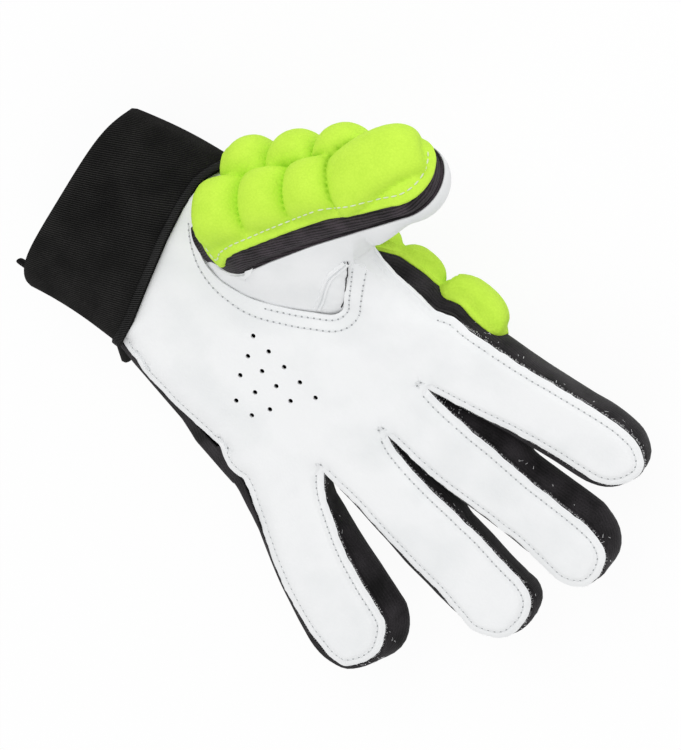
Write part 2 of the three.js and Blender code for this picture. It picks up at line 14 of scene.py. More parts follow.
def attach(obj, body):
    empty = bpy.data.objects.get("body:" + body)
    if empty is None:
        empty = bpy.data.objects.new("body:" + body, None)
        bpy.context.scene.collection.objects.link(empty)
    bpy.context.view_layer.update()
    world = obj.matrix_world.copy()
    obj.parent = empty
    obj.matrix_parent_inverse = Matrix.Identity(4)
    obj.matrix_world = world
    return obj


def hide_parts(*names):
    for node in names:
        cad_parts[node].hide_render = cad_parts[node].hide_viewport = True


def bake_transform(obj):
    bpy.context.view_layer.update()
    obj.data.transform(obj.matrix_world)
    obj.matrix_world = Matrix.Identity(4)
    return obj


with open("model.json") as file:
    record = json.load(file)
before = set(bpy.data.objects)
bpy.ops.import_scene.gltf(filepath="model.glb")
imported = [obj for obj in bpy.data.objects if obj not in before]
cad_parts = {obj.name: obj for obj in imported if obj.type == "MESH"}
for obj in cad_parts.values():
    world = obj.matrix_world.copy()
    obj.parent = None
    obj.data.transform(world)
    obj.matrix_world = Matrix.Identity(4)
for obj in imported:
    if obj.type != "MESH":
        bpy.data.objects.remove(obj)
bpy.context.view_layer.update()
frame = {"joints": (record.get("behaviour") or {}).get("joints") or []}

bl_info = {
    "name": "Field Hockey Glove",
    "version": (1, 0, 0),
    "blender": (4, 5, 0),
    "location": "3D View > Sidebar > Glove",
    "description": "Builds a padded field hockey glove over its CAD frame",
    "category": "Object",
}

MM = 0.001
JOINTS = {joint["name"]: joint for joint in frame["joints"]}
FINGERS = ("index", "middle", "ring", "little")

# The hand frame, in millimetres: the wrist seam at y 0, fingers along +Y, the
# thumb at -X, the table at z 0 and the palm leather facing +Z.
MIDDLE_HINGE = np.array([-2.1, 101.0, 36.0])
HAND_ORIGIN = np.array(JOINTS["middle_knuckle"]["pos_m"]) / MM - MIDDLE_HINGE
PALM_TOP = 36.0
HAND_BACK = 10.0
# A length beyond the end of any digit, how close points are joined, and straight up.
FAR = 999.0
WELD = 0.02
UP = Vector((0.0, 0.0, 1.0))

# Each finger's leather from its thumb side round the tip, as points along and
# across from the knuckle hinge.
FINGER_CUTS = {
    "index": [
        (16, -14.3), (30, -13.4), (46, -13.1), (60, -12.6), (68, -11.5), (74, -9.4), (78.6, -4.8),
        (79.5, -0.6), (78.6, 2.6), (75.6, 7), (70, 10.4), (62, 10.8), (50, 10.1), (36, 10),
        (17.4, 11.2)],
    "middle": [
        (8, -13.6), (20, -13.1), (32, -13), (46, -12.5), (58, -12.7), (72, -12.9), (80, -11.9),
        (86, -7.8), (88.2, -2), (88.4, 2), (86.6, 6.6), (80, 10.4), (72, 10.1), (60, 9.1),
        (46, 9.5), (22, 10.6)],
    "ring": [
        (8.6, -14.9), (22, -14.3), (36, -14.6), (50, -15.1), (62, -14.6), (73, -14.4),
        (79.6, -11.6), (83.4, -5.6), (84.1, 1), (83.6, 5.4), (80.2, 9.6), (73.6, 13.2), (66, 13),
        (54, 12.1), (40, 12.2), (24, 11.9), (9, 11.2)],
    "little": [
        (8.4, -13.9), (19.4, -12.4), (32, -11.5), (44, -12.1), (56, -13.6), (62, -13.7),
        (67.6, -10.4), (71.6, -6.4), (73.5, -1.2), (73.6, 4), (72.4, 8.6), (67.6, 12.2),
        (62, 13.9), (54, 15.6), (40, 16.7), (28, 16.5), (10, 15.2)]}
CROTCHES = [(-16.9, 101.7), (7.1, 100.3), (34.7, 90)]
THUMB_SIDE_EDGE = [
    (-47.8, 57), (-45.8, 62.2), (-44, 69.5), (-43, 79), (-42, 86.6), (-43.2, 90.2), (-44.6, 94.2),
    (-44.3, 101)]
OUTER_EDGE = [
    (57.8, 69.3), (57.4, 65.2), (56.8, 60.6), (54.7, 56.8), (52.3, 53.8), (52, 50.2), (51.2, 43.1),
    (50.4, 35.4), (49.6, 29.6), (48.4, 23.1), (47.6, 19.1), (46.4, 14.8), (44.5, 11.1),
    (43.7, 7.5), (42.2, 2.9)]
WRIST_EDGE = [
    (42.2, 2.9), (30.6, 2.2), (15, -0.7), (-3.2, -3.9), (-16.6, -5.6), (-27.3, -5.9), (-37, -3.2)]
THUMB_OPENING = [
    (-37, -3.2), (-33.5, 0.6), (-27, -0.4), (-19, -0.4), (-11, 4.2), (-4.9, 11.7), (-2.8, 19.4),
    (-3.2, 27), (-5, 34.9), (-10.3, 46.3), (-14.6, 53.7), (-18.6, 59.8), (-22.9, 61.5), (-27, 60),
    (-31.2, 58.3), (-35.3, 56.7), (-39.4, 55), (-42.8, 53.9), (-44.7, 54.2), (-46.5, 55.3),
    (-47.8, 57)]
# Where the palm rises to the thumb: the last part of that opening, with its height.
WEB_EDGE = [
    (-22.9, 61.5, 36.2), (-27, 60, 38.6), (-31.2, 58.3, 40.4), (-35.3, 56.7, 42.2),
    (-39.4, 55, 44.4), (-42.8, 53.9, 45.8), (-44.7, 54.2, 43.6), (-46.5, 55.3, 40.4),
    (-47.8, 57, 36.6)]
# Rows of stitches round the thumb's opening, from its edge: the inner row, and the
# outer row at the wrist and at the web.
OPENING_ROWS = (1.9, 2.3, 6)
# Rows of vent holes in the palm: first hole, last hole, count.
VENT_ROWS = [
    ((6.7, 41.2), (11.3, 71.9), 5), ((14.3, 43.8), (18.4, 65.4), 4), ((22.2, 45.5), (26, 61.2), 3),
    ((31.2, 49.6), (32.1, 57.2), 2)]
# The hand's two side edges, as x at each y.
HAND_EDGE_Y = [-2, 22, 35, 57.6, 70.4, 100]
HAND_OUTER_X = [42, 48, 50.4, 55, 57.8, 62]
HAND_THUMB_X = [-37, -38.8, -39.6, -40.4, -41.2, -42]
# Creases of the palm's leather: two ends, depth and half width.
PALM_FOLDS = [
    ((41.3, 9.8), (44, 16.8), 2.9, 0.9), ((48.6, 52.2), (50.8, 57.6), 2.9, 0.9),
    ((36, 56.3), (50, 58.4), 0.85, 2.6), ((39.2, 73.6), (55, 75.8), 0.7, 3),
    ((9, 18), (6.5, 38), 0.6, 3.4), ((-8, 66), (-30, 84), 0.7, 3), ((20, 30), (34, 12), 0.7, 3.6),
    ((2, 84), (22, 78), 0.55, 3), ((24, 10), (39, 5.5), 0.8, 2)]
# Where the knitted back of the hand ends under the finger knits.
BACK_END_X = [-45, -28.5, -2.1, 23.6, 48.2, 62]
BACK_END_Y = [99, 99.5, 101, 96, 80.2, 72]

# The thumb at lengths along it from its first hinge: half its width and half its depth, then
# where its tip ends and how far its middle lies behind the hinge.
THUMB_ALONG = [-48, -39, -28, 0, 20, 38]
THUMB_HALF = [13, 16.8, 18, 15.6, 14.6, 13.6]
THUMB_DEEP = [9, 14, 15.5, 14, 13.2, 12.4]
THUMB_TIP = 52.5
THUMB_AXIS = -14.0

# Spans and slant about each joint of a digit, and where its root pieces end.
ROOT_BEND, ROOT_SLANT, ROOT_END = 6.3, math.radians(42.0), 8.5
TIP_BEND = 7.0
THUMB_ROOT_BEND, THUMB_TIP_BEND, THUMB_SPLIT = (-2.0, 10.0), 5.0, 11.5


def colour(code):
    """An sRGB hex colour as linear red, green, blue and alpha."""
    parts = [int(code[k:k + 2], 16) / 255 for k in (1, 3, 5)]
    linear = [c / 12.92 if c <= 0.04045 else ((c + 0.055) / 1.055) ** 2.4 for c in parts]
    return tuple(linear) + (1.0,)


def ease(t):
    """A smooth step from 0 to 1."""
    t = np.clip(t, 0.0, 1.0)
    return t * t * (3.0 - 2.0 * t)


def fade(t):
    """A straight fall from 1 at t 0 to 0 at t 1."""
    return np.clip(1.0 - t, 0.0, 1.0)


def unit(ways):
    """Directions at length one."""
    return ways / (np.linalg.norm(ways, axis=-1, keepdims=True) + 1e-9)


def boxy(wave, power):
    """A sine or cosine pushed out towards a square."""
    return np.sign(wave) * np.abs(wave) ** power


def turns(count):
    """Angles round a full turn."""
    return np.linspace(0.0, 2 * math.pi, count, endpoint=False)


def lengths(line):
    """The length along a line up to each of its points."""
    return np.concatenate([[0.0], np.cumsum(np.linalg.norm(np.diff(line, axis=0), axis=1))])


def even(line, step=1.0, count=None):
    """The same line with its points an even step apart, or in an even count."""
    line = np.asarray(line, float)
    reach = lengths(line)
    at = np.linspace(0.0, reach[-1], count or max(2, round(reach[-1] / step) + 1))
    return np.column_stack([np.interp(at, reach, axis) for axis in line.T])


def closed(line, step):
    """The points of a closed line an even step apart."""
    return even(np.vstack([line, line[:1]]), step)[:-1]


def curve(points, step):
    """An evenly stepped smooth line through the points."""
    p = np.asarray(points, float)
    p = np.vstack([2 * p[0] - p[1], p, 2 * p[-1] - p[-2]])
    t = np.linspace(0.0, 1.0, 16, endpoint=False)[:, None]
    runs = [0.5 * (2 * b + (c - a) * t + (2 * a - 5 * b + 4 * c - d) * t ** 2
                   + (3 * b - a - 3 * c + d) * t ** 3)
            for a, b, c, d in zip(p, p[1:], p[2:], p[3:])]
    return even(np.vstack(runs + [p[-2:-1]]), step)


def leftward(line):
    """The direction to the left of a flat line at each of its points."""
    ahead = np.gradient(line, axis=0)
    return unit(np.column_stack([-ahead[:, 1], ahead[:, 0]]))


def tree(points):
    """A search tree over flat points."""
    found = KDTree(len(points))
    for k, p in enumerate(points):
        found.insert((p[0], p[1], 0.0), k)
    found.balance()
    return found


def gaps(found, points):
    """Each point's distance from the nearest point of a tree."""
    return np.array([found.find((p[0], p[1], 0.0))[2] for p in points])


def from_crotches(line):
    """Each point's distance from the nearest crotch between two fingers."""
    return np.min([np.linalg.norm(line - np.array(spot), axis=1) for spot in CROTCHES], axis=0)


def ripple(points, size, seed):
    """Soft noise between -1 and 1 over points in millimetres."""
    shift = Vector((seed * 17.3, seed * 5.1, seed * 9.7))
    places = [Vector((p[0], p[1], p[2] if len(p) > 2 else 0.0)) for p in points]
    return np.array([noise.noise(place / size + shift) for place in places])


class Digit:
    """A finger or the thumb, with its own axes at its first hinge, in the hand frame.
    Along runs to the tip, across along the hinge, and front out of the leather."""

    def __init__(self, name, origin, across, reach):
        self.name, self.origin, self.across = name, origin, across
        self.joint = np.linalg.norm(reach)
        self.along = reach / self.joint
        self.front = np.cross(self.across, self.along)

    def placed(self, u, v, z):
        """Points of the hand frame from lengths along, across and out of the front."""
        return (self.origin + np.multiply.outer(u, self.along) + np.multiply.outer(v, self.across)
                + np.multiply.outer(z, self.front))

    def measured(self, points):
        """Lengths along, across and out of the front of points in the hand frame."""
        d = np.asarray(points, float) - self.origin
        return d @ self.along, d @ self.across, d @ self.front


def jointed(name, second):
    """A digit as its two joints in the frame give it."""
    first = np.array(JOINTS[name + "_knuckle"]["pos_m"]) / MM - HAND_ORIGIN
    next_ = np.array(JOINTS[second]["pos_m"]) / MM - HAND_ORIGIN
    return Digit(name, first, np.array(JOINTS[name + "_knuckle"]["axis"]), next_ - first)


DIGITS = {name: jointed(name, name + "_middle_joint") for name in FINGERS}
DIGITS["thumb"] = jointed("thumb", "thumb_tip_joint")
HAND = Digit("hand", np.array([0.0, 0.0, PALM_TOP]), np.array([1.0, 0.0, 0.0]),
             np.array([0.0, 1.0, 0.0]))


def flat(points):
    """Points of the hand plane at the height of the palm."""
    points = np.asarray(points, float)
    return np.column_stack([points, np.full(len(points), PALM_TOP)])


def finger_cut(name):
    """A finger's leather edge in the hand plane, from crotch to crotch."""
    points = np.array(FINGER_CUTS[name])
    return DIGITS[name].placed(points[:, 0], points[:, 1], np.zeros(len(points)))[:, :2]


def seam_line(step):
    """The stitched edge of the front leather, from the thumb's opening round every finger
    to the wrist."""
    runs = []
    for k, name in enumerate(FINGERS):
        before = THUMB_SIDE_EDGE if k == 0 else CROTCHES[k - 1:k]
        after = OUTER_EDGE if k == 3 else CROTCHES[k:k + 1]
        runs.append(curve(np.vstack([before, finger_cut(name), after]), step))
    return np.vstack([run if k == 0 else run[1:] for k, run in enumerate(runs)])


# Mesh helpers

def sheet(outline, holes, step, rows):
    """A flat sheet cut to an outline, as a mesh whose triangles follow the edge in rows and
    fill the rest evenly."""
    loops = [np.asarray(outline)] + [np.asarray(hole) for hole in holes]
    points, edges = [], []
    for loop in loops:
        first = len(points)
        points.extend(loop)
        edges.extend((first + k, first + (k + 1) % len(loop)) for k in range(len(loop)))
    border = tree(points)
    rim, after = loops[0], np.roll(loops[0], -1, 0)
    tangent = unit(after - np.roll(rim, 1, 0))
    turning = np.sign(np.sum(rim[:, 0] * after[:, 1] - after[:, 0] * rim[:, 1]))
    inward = np.column_stack([-tangent[:, 1], tangent[:, 0]]) * turning
    for inset in rows:
        ring = rim + inward * inset
        points.extend(ring[gaps(border, ring) > inset * 0.93])
    low, high = rim.min(0), rim.max(0)
    xs, ys = np.arange(low[0], high[0], step), np.arange(low[1], high[1], step * 0.866)
    filling = np.array([(x + (k % 2) * step / 2, y) for k, y in enumerate(ys) for x in xs])
    points.extend(filling[gaps(border, filling) > rows[-1] + step * 0.6])
    found = delaunay_2d_cdt([Vector(p) for p in points], edges, [], 2, 1e-6)
    bm = bmesh.new()
    verts = [bm.verts.new((p.x, p.y, 0.0)) for p in found[0]]
    vents = [(hole.mean(0), np.linalg.norm(hole[0] - hole.mean(0))) for hole in loops[1:]]
    for face in found[2]:
        middle = np.mean([found[0][k] for k in face], axis=0)
        if all(np.linalg.norm(middle - spot) > radius for spot, radius in vents):
            bm.faces.new([verts[k] for k in face])
    bmesh.ops.delete(bm, geom=[v for v in bm.verts if not v.link_faces], context="VERTS")
    facing(bm, lambda spot: UP)
    return bm


def spots(bm):
    return np.array([v.co for v in bm.verts])


def move(bm, points):
    for vert, point in zip(bm.verts, points):
        vert.co = point


def noted(bm, layer, values):
    """Notes a value at each vertex under a name that a material reads."""
    key = bm.verts.layers.float.new(layer)
    for vert, value in zip(bm.verts, values):
        vert[key] = value


def grid(points, values=None, layer="tone"):
    """A sheet of quads laid over rows of points, with a value at each point for its material."""
    points = np.asarray(points, float)
    ends = np.array(points.shape[:2]) - 1
    bm = bmesh.new()
    bmesh.ops.create_grid(bm, x_segments=ends[0], y_segments=ends[1], size=1.0)
    rows, columns = np.rint((spots(bm)[:, :2] + 1) / 2 * ends).astype(int).T
    if values is not None:
        noted(bm, layer, values[rows, columns])
    move(bm, points[rows, columns])
    return bm


def facing(bm, way):
    """Turns a sheet's faces to the side that a function of their middles gives."""
    bmesh.ops.recalc_face_normals(bm, faces=bm.faces)
    if sum(f.normal.dot(way(f.calc_center_median())) * f.calc_area() for f in bm.faces) < 0:
        bmesh.ops.reverse_faces(bm, faces=bm.faces)


def welded(bm, apart, middle):
    """Joins a sheet's points that meet, and turns its faces away from a middle."""
    bmesh.ops.remove_doubles(bm, verts=bm.verts, dist=apart)
    facing(bm, lambda spot: spot - Vector(middle))
    return bm


def filled(bm):
    """Closes the open ends of a mesh."""
    bmesh.ops.holes_fill(bm, edges=[e for e in bm.edges if e.is_boundary], sides=0)
    return bm


def cut(bm, spot, direction, faces=None):
    """Cuts edges into a mesh, or into some of its faces, along a plane. Nothing is taken off."""
    faces = bm.faces[:] if faces is None else faces
    edges, verts = {e for f in faces for e in f.edges}, {v for f in faces for v in f.verts}
    bmesh.ops.bisect_plane(bm, geom=[*verts, *edges, *faces], dist=1e-4,
                           plane_co=spot, plane_no=direction)


def part(bm, keep):
    """A copy of the faces whose middles pass a test."""
    copy = bm.copy()
    kept = keep(np.array([f.calc_center_median() for f in copy.faces]))
    bmesh.ops.delete(copy, geom=[f for f, k in zip(copy.faces, kept) if not k], context="FACES")
    return copy


def thicken(bm, depth):
    """Gives a sheet its thickness on the side away from its faces."""
    bm.normal_update()
    inner = [(v, v.co - v.normal * depth) for v in bm.verts]
    bmesh.ops.extrude_face_region(bm, geom=bm.faces[:])
    for vert, spot in inner:
        vert.co = spot
    bmesh.ops.recalc_face_normals(bm, faces=bm.faces)
    return bm


def copies(template, places):
    """One mesh of a small mesh laid at many places, each a middle and three axes."""
    points = spots(template)
    faces = [[v.index for v in f.verts] for f in template.faces]
    template.free()
    carrier = bpy.data.meshes.new("carrier")
    carrier.from_pydata(
        np.vstack([middle + points @ axes for middle, axes in places]), [],
        [[k + n * len(points) for k in f] for n in range(len(places)) for f in faces])
    bm = bmesh.new()
    bm.from_mesh(carrier)
    bpy.data.meshes.remove(carrier)
    return bm


def piece(bm, name, material, replaced=(), sharp=38.0):
    """Makes an object of a mesh drawn in the hand frame."""
    bm.transform(Matrix.Scale(MM, 4) @ Matrix.Translation(Vector(HAND_ORIGIN)))
    mesh = bpy.data.meshes.new(name)
    bm.to_mesh(mesh)
    bm.free()
    made = bpy.data.objects.new(name, mesh)
    bpy.context.scene.collection.objects.link(made)
    mesh.materials.append(material)
    mesh.polygons.foreach_set("use_smooth", [True] * len(mesh.polygons))
    mesh.set_sharp_from_angle(angle=math.radians(sharp))
    if not len(mesh.polygons):
        raise RuntimeError(name + " has no faces")
    if replaced:
        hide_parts(*replaced)
    return made


def metres(points):
    """Points of the hand frame in metres in the frame that the CAD uses."""
    return [tuple((np.asarray(p) + HAND_ORIGIN) * MM) for p in points]


def bend_root(made, digit):
    """Bakes a piece's transform into its mesh; the span of the digit's first joint goes unused."""
    if digit.name == "thumb":
        ends = digit.placed(THUMB_ROOT_BEND, [0.0, 0.0], [0.0, 0.0])
    else:
        ends = digit.placed([0.0, ROOT_BEND * math.cos(ROOT_SLANT)], [0.0, 0.0],
                            [0.0, -ROOT_BEND * math.sin(ROOT_SLANT)])
    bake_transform(made)


def bend_tip(made, digit):
    """Bakes a piece's transform into its mesh; the span of the digit's second joint goes unused."""
    reach = THUMB_TIP_BEND if digit.name == "thumb" else TIP_BEND
    ends = digit.placed([digit.joint - reach, digit.joint + reach], [0.0, 0.0], [0.0, 0.0])
    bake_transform(made)


BENDS = {"root": bend_root, "tip": bend_tip}


def split_at(digit):
    """How far along a digit its root pieces end and its tip pieces begin."""
    return THUMB_SPLIT if digit.name == "thumb" else (ROOT_END + digit.joint - TIP_BEND) / 2


def halves(digit):
    """A digit's root and tip, each with where it starts and ends."""
    return ("root", 0.0, split_at(digit)), ("tip", split_at(digit), FAR)


def split(whole, digit):
    """The root and the tip of a digit's mesh, cut apart."""
    middle = split_at(digit)
    cut(whole, digit.placed(middle, 0.0, 0.0), digit.along)
    root = part(whole, lambda points: digit.measured(points)[0] < middle)
    tip = part(whole, lambda points: digit.measured(points)[0] > middle)
    whole.free()
    return root, tip


def add_halves(parts, digit, thickness, material, names):
    """Makes a digit's two pieces of its root and its tip, by name with what each replaces."""
    for bm, bend, (name, replaced) in zip(parts, BENDS.values(), names.items()):
        bend(piece(thicken(bm, thickness), name, material, replaced), digit)


# Materials

def feed(made, values):
    """Sets a node's inputs to values or to other sockets."""
    for key, value in values.items():
        if isinstance(value, bpy.types.NodeSocket):
            made.id_data.links.new(value, made.inputs[key])
        else:
            made.inputs[key].default_value = value


def node(t, kind, values=None, **settings):
    """Adds a shader node with its settings and its inputs."""
    made = t.nodes.new("ShaderNode" + kind)
    for key, value in settings.items():
        setattr(made, key, value)
    feed(made, values or {})
    return made


def noisy(t, size, detail, **more):
    """Noise over the object, with its size in millimetres."""
    place = node(t, "TexCoord").outputs["Object"]
    return node(t, "TexNoise", {"Vector": place, "Scale": 1 / (size * MM), "Detail": detail,
                                **more}).outputs[0]


def grains(t, size, feature):
    """Distances in cells over the object, with their size in millimetres."""
    place = node(t, "TexCoord").outputs["Object"]
    return node(t, "TexVoronoi", {"Vector": place, "Scale": 1 / (size * MM)},
                feature=feature).outputs["Distance"]


def noted_value(t, layer):
    """The value that a mesh carries at its points."""
    return node(t, "Attribute", attribute_name=layer).outputs["Fac"]


def ranged(t, value, low, high, to_low=0.0, to_high=1.0):
    """A value moved from one range to another."""
    return node(t, "MapRange", {"Value": value, "From Min": low, "From Max": high,
                                "To Min": to_low, "To Max": to_high}).outputs[0]


def maths(t, operation, *values, **settings):
    """One step of arithmetic."""
    return node(t, "Math", dict(enumerate(values)), operation=operation, **settings).outputs[0]


def mixed(t, share, first, second):
    """Two colours mixed."""
    return node(t, "Mix", {"Factor": share, "A": first, "B": second},
                data_type="RGBA").outputs[2]


def bump(t, height, strength, deep, **more):
    """A surface's normal under a relief, with its depth in millimetres."""
    return node(t, "Bump", {"Height": height, "Strength": strength, "Distance": deep * MM,
                            **more}).outputs[0]


def material(name):
    """A new material, its tree and its shader."""
    made = bpy.data.materials.new(name)
    made.use_nodes = True
    return made, made.node_tree, made.node_tree.nodes["Principled BSDF"]


def synthetic_leather(tint, shade):
    """Coated white synthetic leather: a satin skin with a fine pebble grain and broad patches
    that are slightly grey at random."""
    made, t, shader = material("synthetic_leather")
    fine = noisy(t, 0.35, 3.0)
    grey_patches = ranged(t, noisy(t, 22.0, 4.0), 0.42, 0.72)
    low = bump(t, fine, 0.12, 0.2)
    feed(shader, {"Base Color": mixed(t, grey_patches, tint, shade),
                  "Roughness": ranged(t, fine, 0.0, 1.0, 0.46, 0.62),
                  "Normal": bump(t, grains(t, 0.9, "SMOOTH_F1"), 0.2, 0.3, Normal=low),
                  "IOR": 1.46, "Sheen Weight": 0.06})
    return made


def brushed_knit(name, tint, shade, ribbed):
    """Brushed polyester knit: a matt, slightly furry black with lengthwise wales, a soft grey of
    raised fibres at random, and a painted highlight along the wales."""
    made, t, shader = material(name)
    # Wales about 1.1 mm apart, a little coarser than the real 0.8 mm, so that they can be seen.
    turn = maths(t, "MULTIPLY", noted_value(t, "round"), 2 * math.pi / 1.1)
    turn = maths(t, "MULTIPLY_ADD", noisy(t, 6.0, 2.0), 5.0, turn)
    wales = maths(t, "SINE", turn)
    fuzz = noisy(t, 0.45, 5.0, Roughness=0.7)
    bloom_and_highlight = maths(t, "MULTIPLY", fuzz, noisy(t, 9.0, 3.0))
    # The wales lighten the colour on their crests: painted highlight, strongest on the thumb's
    # strip.
    bloom_and_highlight = maths(t, "MULTIPLY_ADD", wales, 0.07 * ribbed, bloom_and_highlight)
    low = bump(t, wales, 0.6 * ribbed, 0.3)
    feed(shader, {"Base Color": mixed(t, ranged(t, bloom_and_highlight, 0.14, 0.40), tint, shade),
                  "Normal": bump(t, fuzz, 0.5, 0.4, Normal=low), "Roughness": 0.92,
                  "Specular IOR Level": 0.2, "Sheen Weight": 0.1, "Sheen Roughness": 0.5})
    return made


def ribbed_elastic(tint, shade):
    """Covered rubber elastic: a matt black band with a painted highlight on its ribs and painted
    shade in the gaps between them, patchy at random."""
    made, t, shader = material("ribbed_elastic")
    fuzz = noisy(t, 0.5, 4.0)
    patchiness = ranged(t, maths(t, "MULTIPLY", noisy(t, 12.0, 3.0), fuzz), 0.14, 0.36, 0.35)
    # High tone, on rib crests and raised tape rows, is painted highlight; low tone, black, is
    # painted shade.
    share = maths(t, "MULTIPLY", ranged(t, noted_value(t, "tone"), -0.6, 1.0), patchiness)
    feed(shader, {"Base Color": mixed(t, share, tint, shade), "Normal": bump(t, fuzz, 0.3, 0.3),
                  "Roughness": 0.85, "Specular IOR Level": 0.16})
    return made


def neon_jersey(tint, shade):
    """Stretch jersey laminated over foam: a bright yellow-green with a tiny knit, and painted
    shade, darker and greener, in the creases between its cells."""
    made, t, shader = material("neon_stretch_jersey")
    # Loops 0.8 mm apart, coarser than the real 0.4 mm, so that they can be seen.
    loops = grains(t, 0.8, "F1")
    mottle = ranged(t, loops, 0.1, 0.75, 0.0, 0.12)
    soft = ranged(t, noisy(t, 7.0, 3.0), 0.35, 0.75, 0.0, 0.12)
    # The tone attribute darkens the creases between cells: painted shade.
    share = maths(t, "ADD", maths(t, "ADD", mottle, soft), noted_value(t, "tone"), use_clamp=True)
    feed(shader, {"Base Color": mixed(t, share, tint, shade), "Normal": bump(t, loops, 0.5, 0.25),
                  "Roughness": 0.7, "Sheen Weight": 0.06, "Sheen Tint": tint,
                  "Specular IOR Level": 0.2})
    return made


def sewing_thread(name, tint):
    """Twisted polyester sewing thread: a soft satin with the twist of its plies."""
    made, t, shader = material(name)
    feed(shader, {"Base Color": tint, "Normal": bump(t, noisy(t, 0.25, 2.0), 0.5, 0.15),
                  "Roughness": 0.6})
    return made


def painted_hole_shade(tint):
    """The inside of a needle hole as painted shade: grey for the shade in the hole and its bare
    backing, mottled by loose fibres.
    """
    made, t, shader = material("painted_hole_shade")
    dark = [c * 0.5 for c in tint[:3]] + [1.0]
    feed(shader, {"Base Color": mixed(t, noisy(t, 0.3, 3.0), tint, dark), "Roughness": 0.95})
    return made


# What every colour property shares.
TINT = {"subtype": "COLOR", "size": 4, "min": 0, "max": 1}


class GloveColours(bpy.types.PropertyGroup):
    """Colours of the glove."""

    leather: bpy.props.FloatVectorProperty(
        name="Leather", description="Palm and finger fronts", default=colour("#F1F2F3"), **TINT)
    leather_shade: bpy.props.FloatVectorProperty(
        name="Leather Shade", description="Broad grey patches of the leather, at random",
        default=colour("#E8EAEB"), **TINT)
    knit: bpy.props.FloatVectorProperty(
        name="Knit", description="Sides and backs", default=colour("#131213"), **TINT)
    # Raised fibres at random, and painted highlight along the wales.
    knit_bloom_and_highlight: bpy.props.FloatVectorProperty(
        name="Knit Bloom and Highlight", description="Raised fibres of the knit, and painted highlight on its wales",
        default=colour("#383538"), **TINT)
    # Raised fibres, and painted highlight along the strip's wales.
    thumb_strip_bloom_and_highlight: bpy.props.FloatVectorProperty(
        name="Thumb Strip Bloom and Highlight", description="Raised fibres and painted highlight on the wales of the thumb's strip",
        default=colour("#4A4148"), **TINT)
    lint: bpy.props.FloatVectorProperty(
        name="Lint", description="Loose fibres of the leather's backing",
        default=colour("#EDEDEE"), **TINT)
    elastic: bpy.props.FloatVectorProperty(
        name="Elastic", description="Cuff", default=colour("#040404"), **TINT)
    elastic_rib_highlight: bpy.props.FloatVectorProperty(
        # Painted highlight on the cuff's ribs and on the tape's raised rows.
        name="Elastic Rib Highlight", description="Painted highlight on the cuff's ribs",
        default=colour("#333231"), **TINT)
    thread: bpy.props.FloatVectorProperty(
        name="Thread", description="Stitches of the leather", default=colour("#E2E4E5"), **TINT)
    # Painted shade in the needle holes, with their bare grey backing.
    needle_hole_shade: bpy.props.FloatVectorProperty(
        name="Needle Hole Shade", description="Painted shade in the seams' needle holes",
        default=colour("#B4B7B9"), **TINT)
    pad_thread: bpy.props.FloatVectorProperty(
        name="Pad Thread", description="Stitches along the padded covers",
        default=colour("#DCE5C4"), **TINT)
    pad: bpy.props.FloatVectorProperty(
        name="Pads", description="Padded covers", default=colour("#CEF64E"), **TINT)
    # Painted shade in the creases between the padded cells.
    pad_crease_shade: bpy.props.FloatVectorProperty(
        name="Pad Crease Shade", description="Painted shade in the creases of the padded covers",
        default=colour("#88C00C"), **TINT)


class GloveSizes(bpy.types.PropertyGroup):
    """Sizes of the glove's making up."""

    leather_thickness: bpy.props.FloatProperty(
        name="Leather Thickness", description="Thickness of the front leather",
        default=0.9 * MM, unit="LENGTH")
    knit_thickness: bpy.props.FloatProperty(
        name="Knit Thickness", description="Thickness of the knitted sides",
        default=0.8 * MM, unit="LENGTH")
    seam_inset: bpy.props.FloatProperty(
        name="Seam Inset", description="From the raw edge to the stitches",
        default=2.7 * MM, unit="LENGTH")
    stitch_pitch: bpy.props.FloatProperty(
        name="Stitch Pitch", description="Length of one stitch", default=2.3 * MM, unit="LENGTH")
    vent_radius: bpy.props.FloatProperty(
        name="Vent Radius", description="Radius of the palm's vent holes",
        default=0.9 * MM, unit="LENGTH")


# Stitching

def thread_bead():
    """One stitch of thread, which runs along its own Z."""
    bm = bmesh.new()
    bmesh.ops.create_uvsphere(bm, u_segments=6, v_segments=5, radius=1.0)
    return bm


def small_cone(segments, narrow, depth):
    """A little cone with a flat end, which runs along its own Z."""
    bm = bmesh.new()
    bmesh.ops.create_cone(bm, cap_ends=True, segments=segments, radius1=1.0, radius2=narrow,
                          depth=depth)
    return bm


def sewn(lines, pitch, thread, hole):
    """Places of the stitches and of the needle holes between them, along lines of points
    with normals."""
    beads, holes = [], []
    for line, normals in lines:
        spaced = even(np.column_stack([line, normals]), pitch)
        for here, there in zip(spaced, spaced[1:]):
            ahead = there[:3] - here[:3]
            half = 0.37 * ahead
            ahead, up = unit(ahead), unit(here[3:])
            aside = np.cross(up, ahead)
            middle = (here[:3] + there[:3]) / 2 + up * thread * 0.15
            beads.append((middle, np.array([aside * thread, up * thread, half])))
            holes.append((here[:3], np.array([aside * hole, ahead * hole * 1.25, up * 0.16])))
    return beads, holes


def add_stitches(name, lines, pitch, thread, yarn, hole=None, shadow=None):
    """Sews lines, and gives the objects of the thread and of any needle holes' painted shade."""
    beads, holes = sewn(lines, pitch, thread, hole or thread)
    made = [piece(copies(thread_bead(), beads), name + "_thread", yarn)]
    if hole:
        cone = small_cone(7, 0.8, 1.0)
        # Small grey cones at the needle holes: painted shade.
        made.append(piece(copies(cone, holes), name + "_needle_hole_shade", shadow))
    return made


# The front leather

SEAM_TREE = tree(seam_line(0.4))
WEB_LINE = curve(WEB_EDGE, 0.5)
WEB_TREE = tree(WEB_LINE)
# Its fall to the stitched edge on the fingers, and how much more on the palm.
EDGE_DEEP, EDGE_WIDE, PALM_DEEPER, PALM_WIDER = 3.2, 5.6, 2.2, 5.0
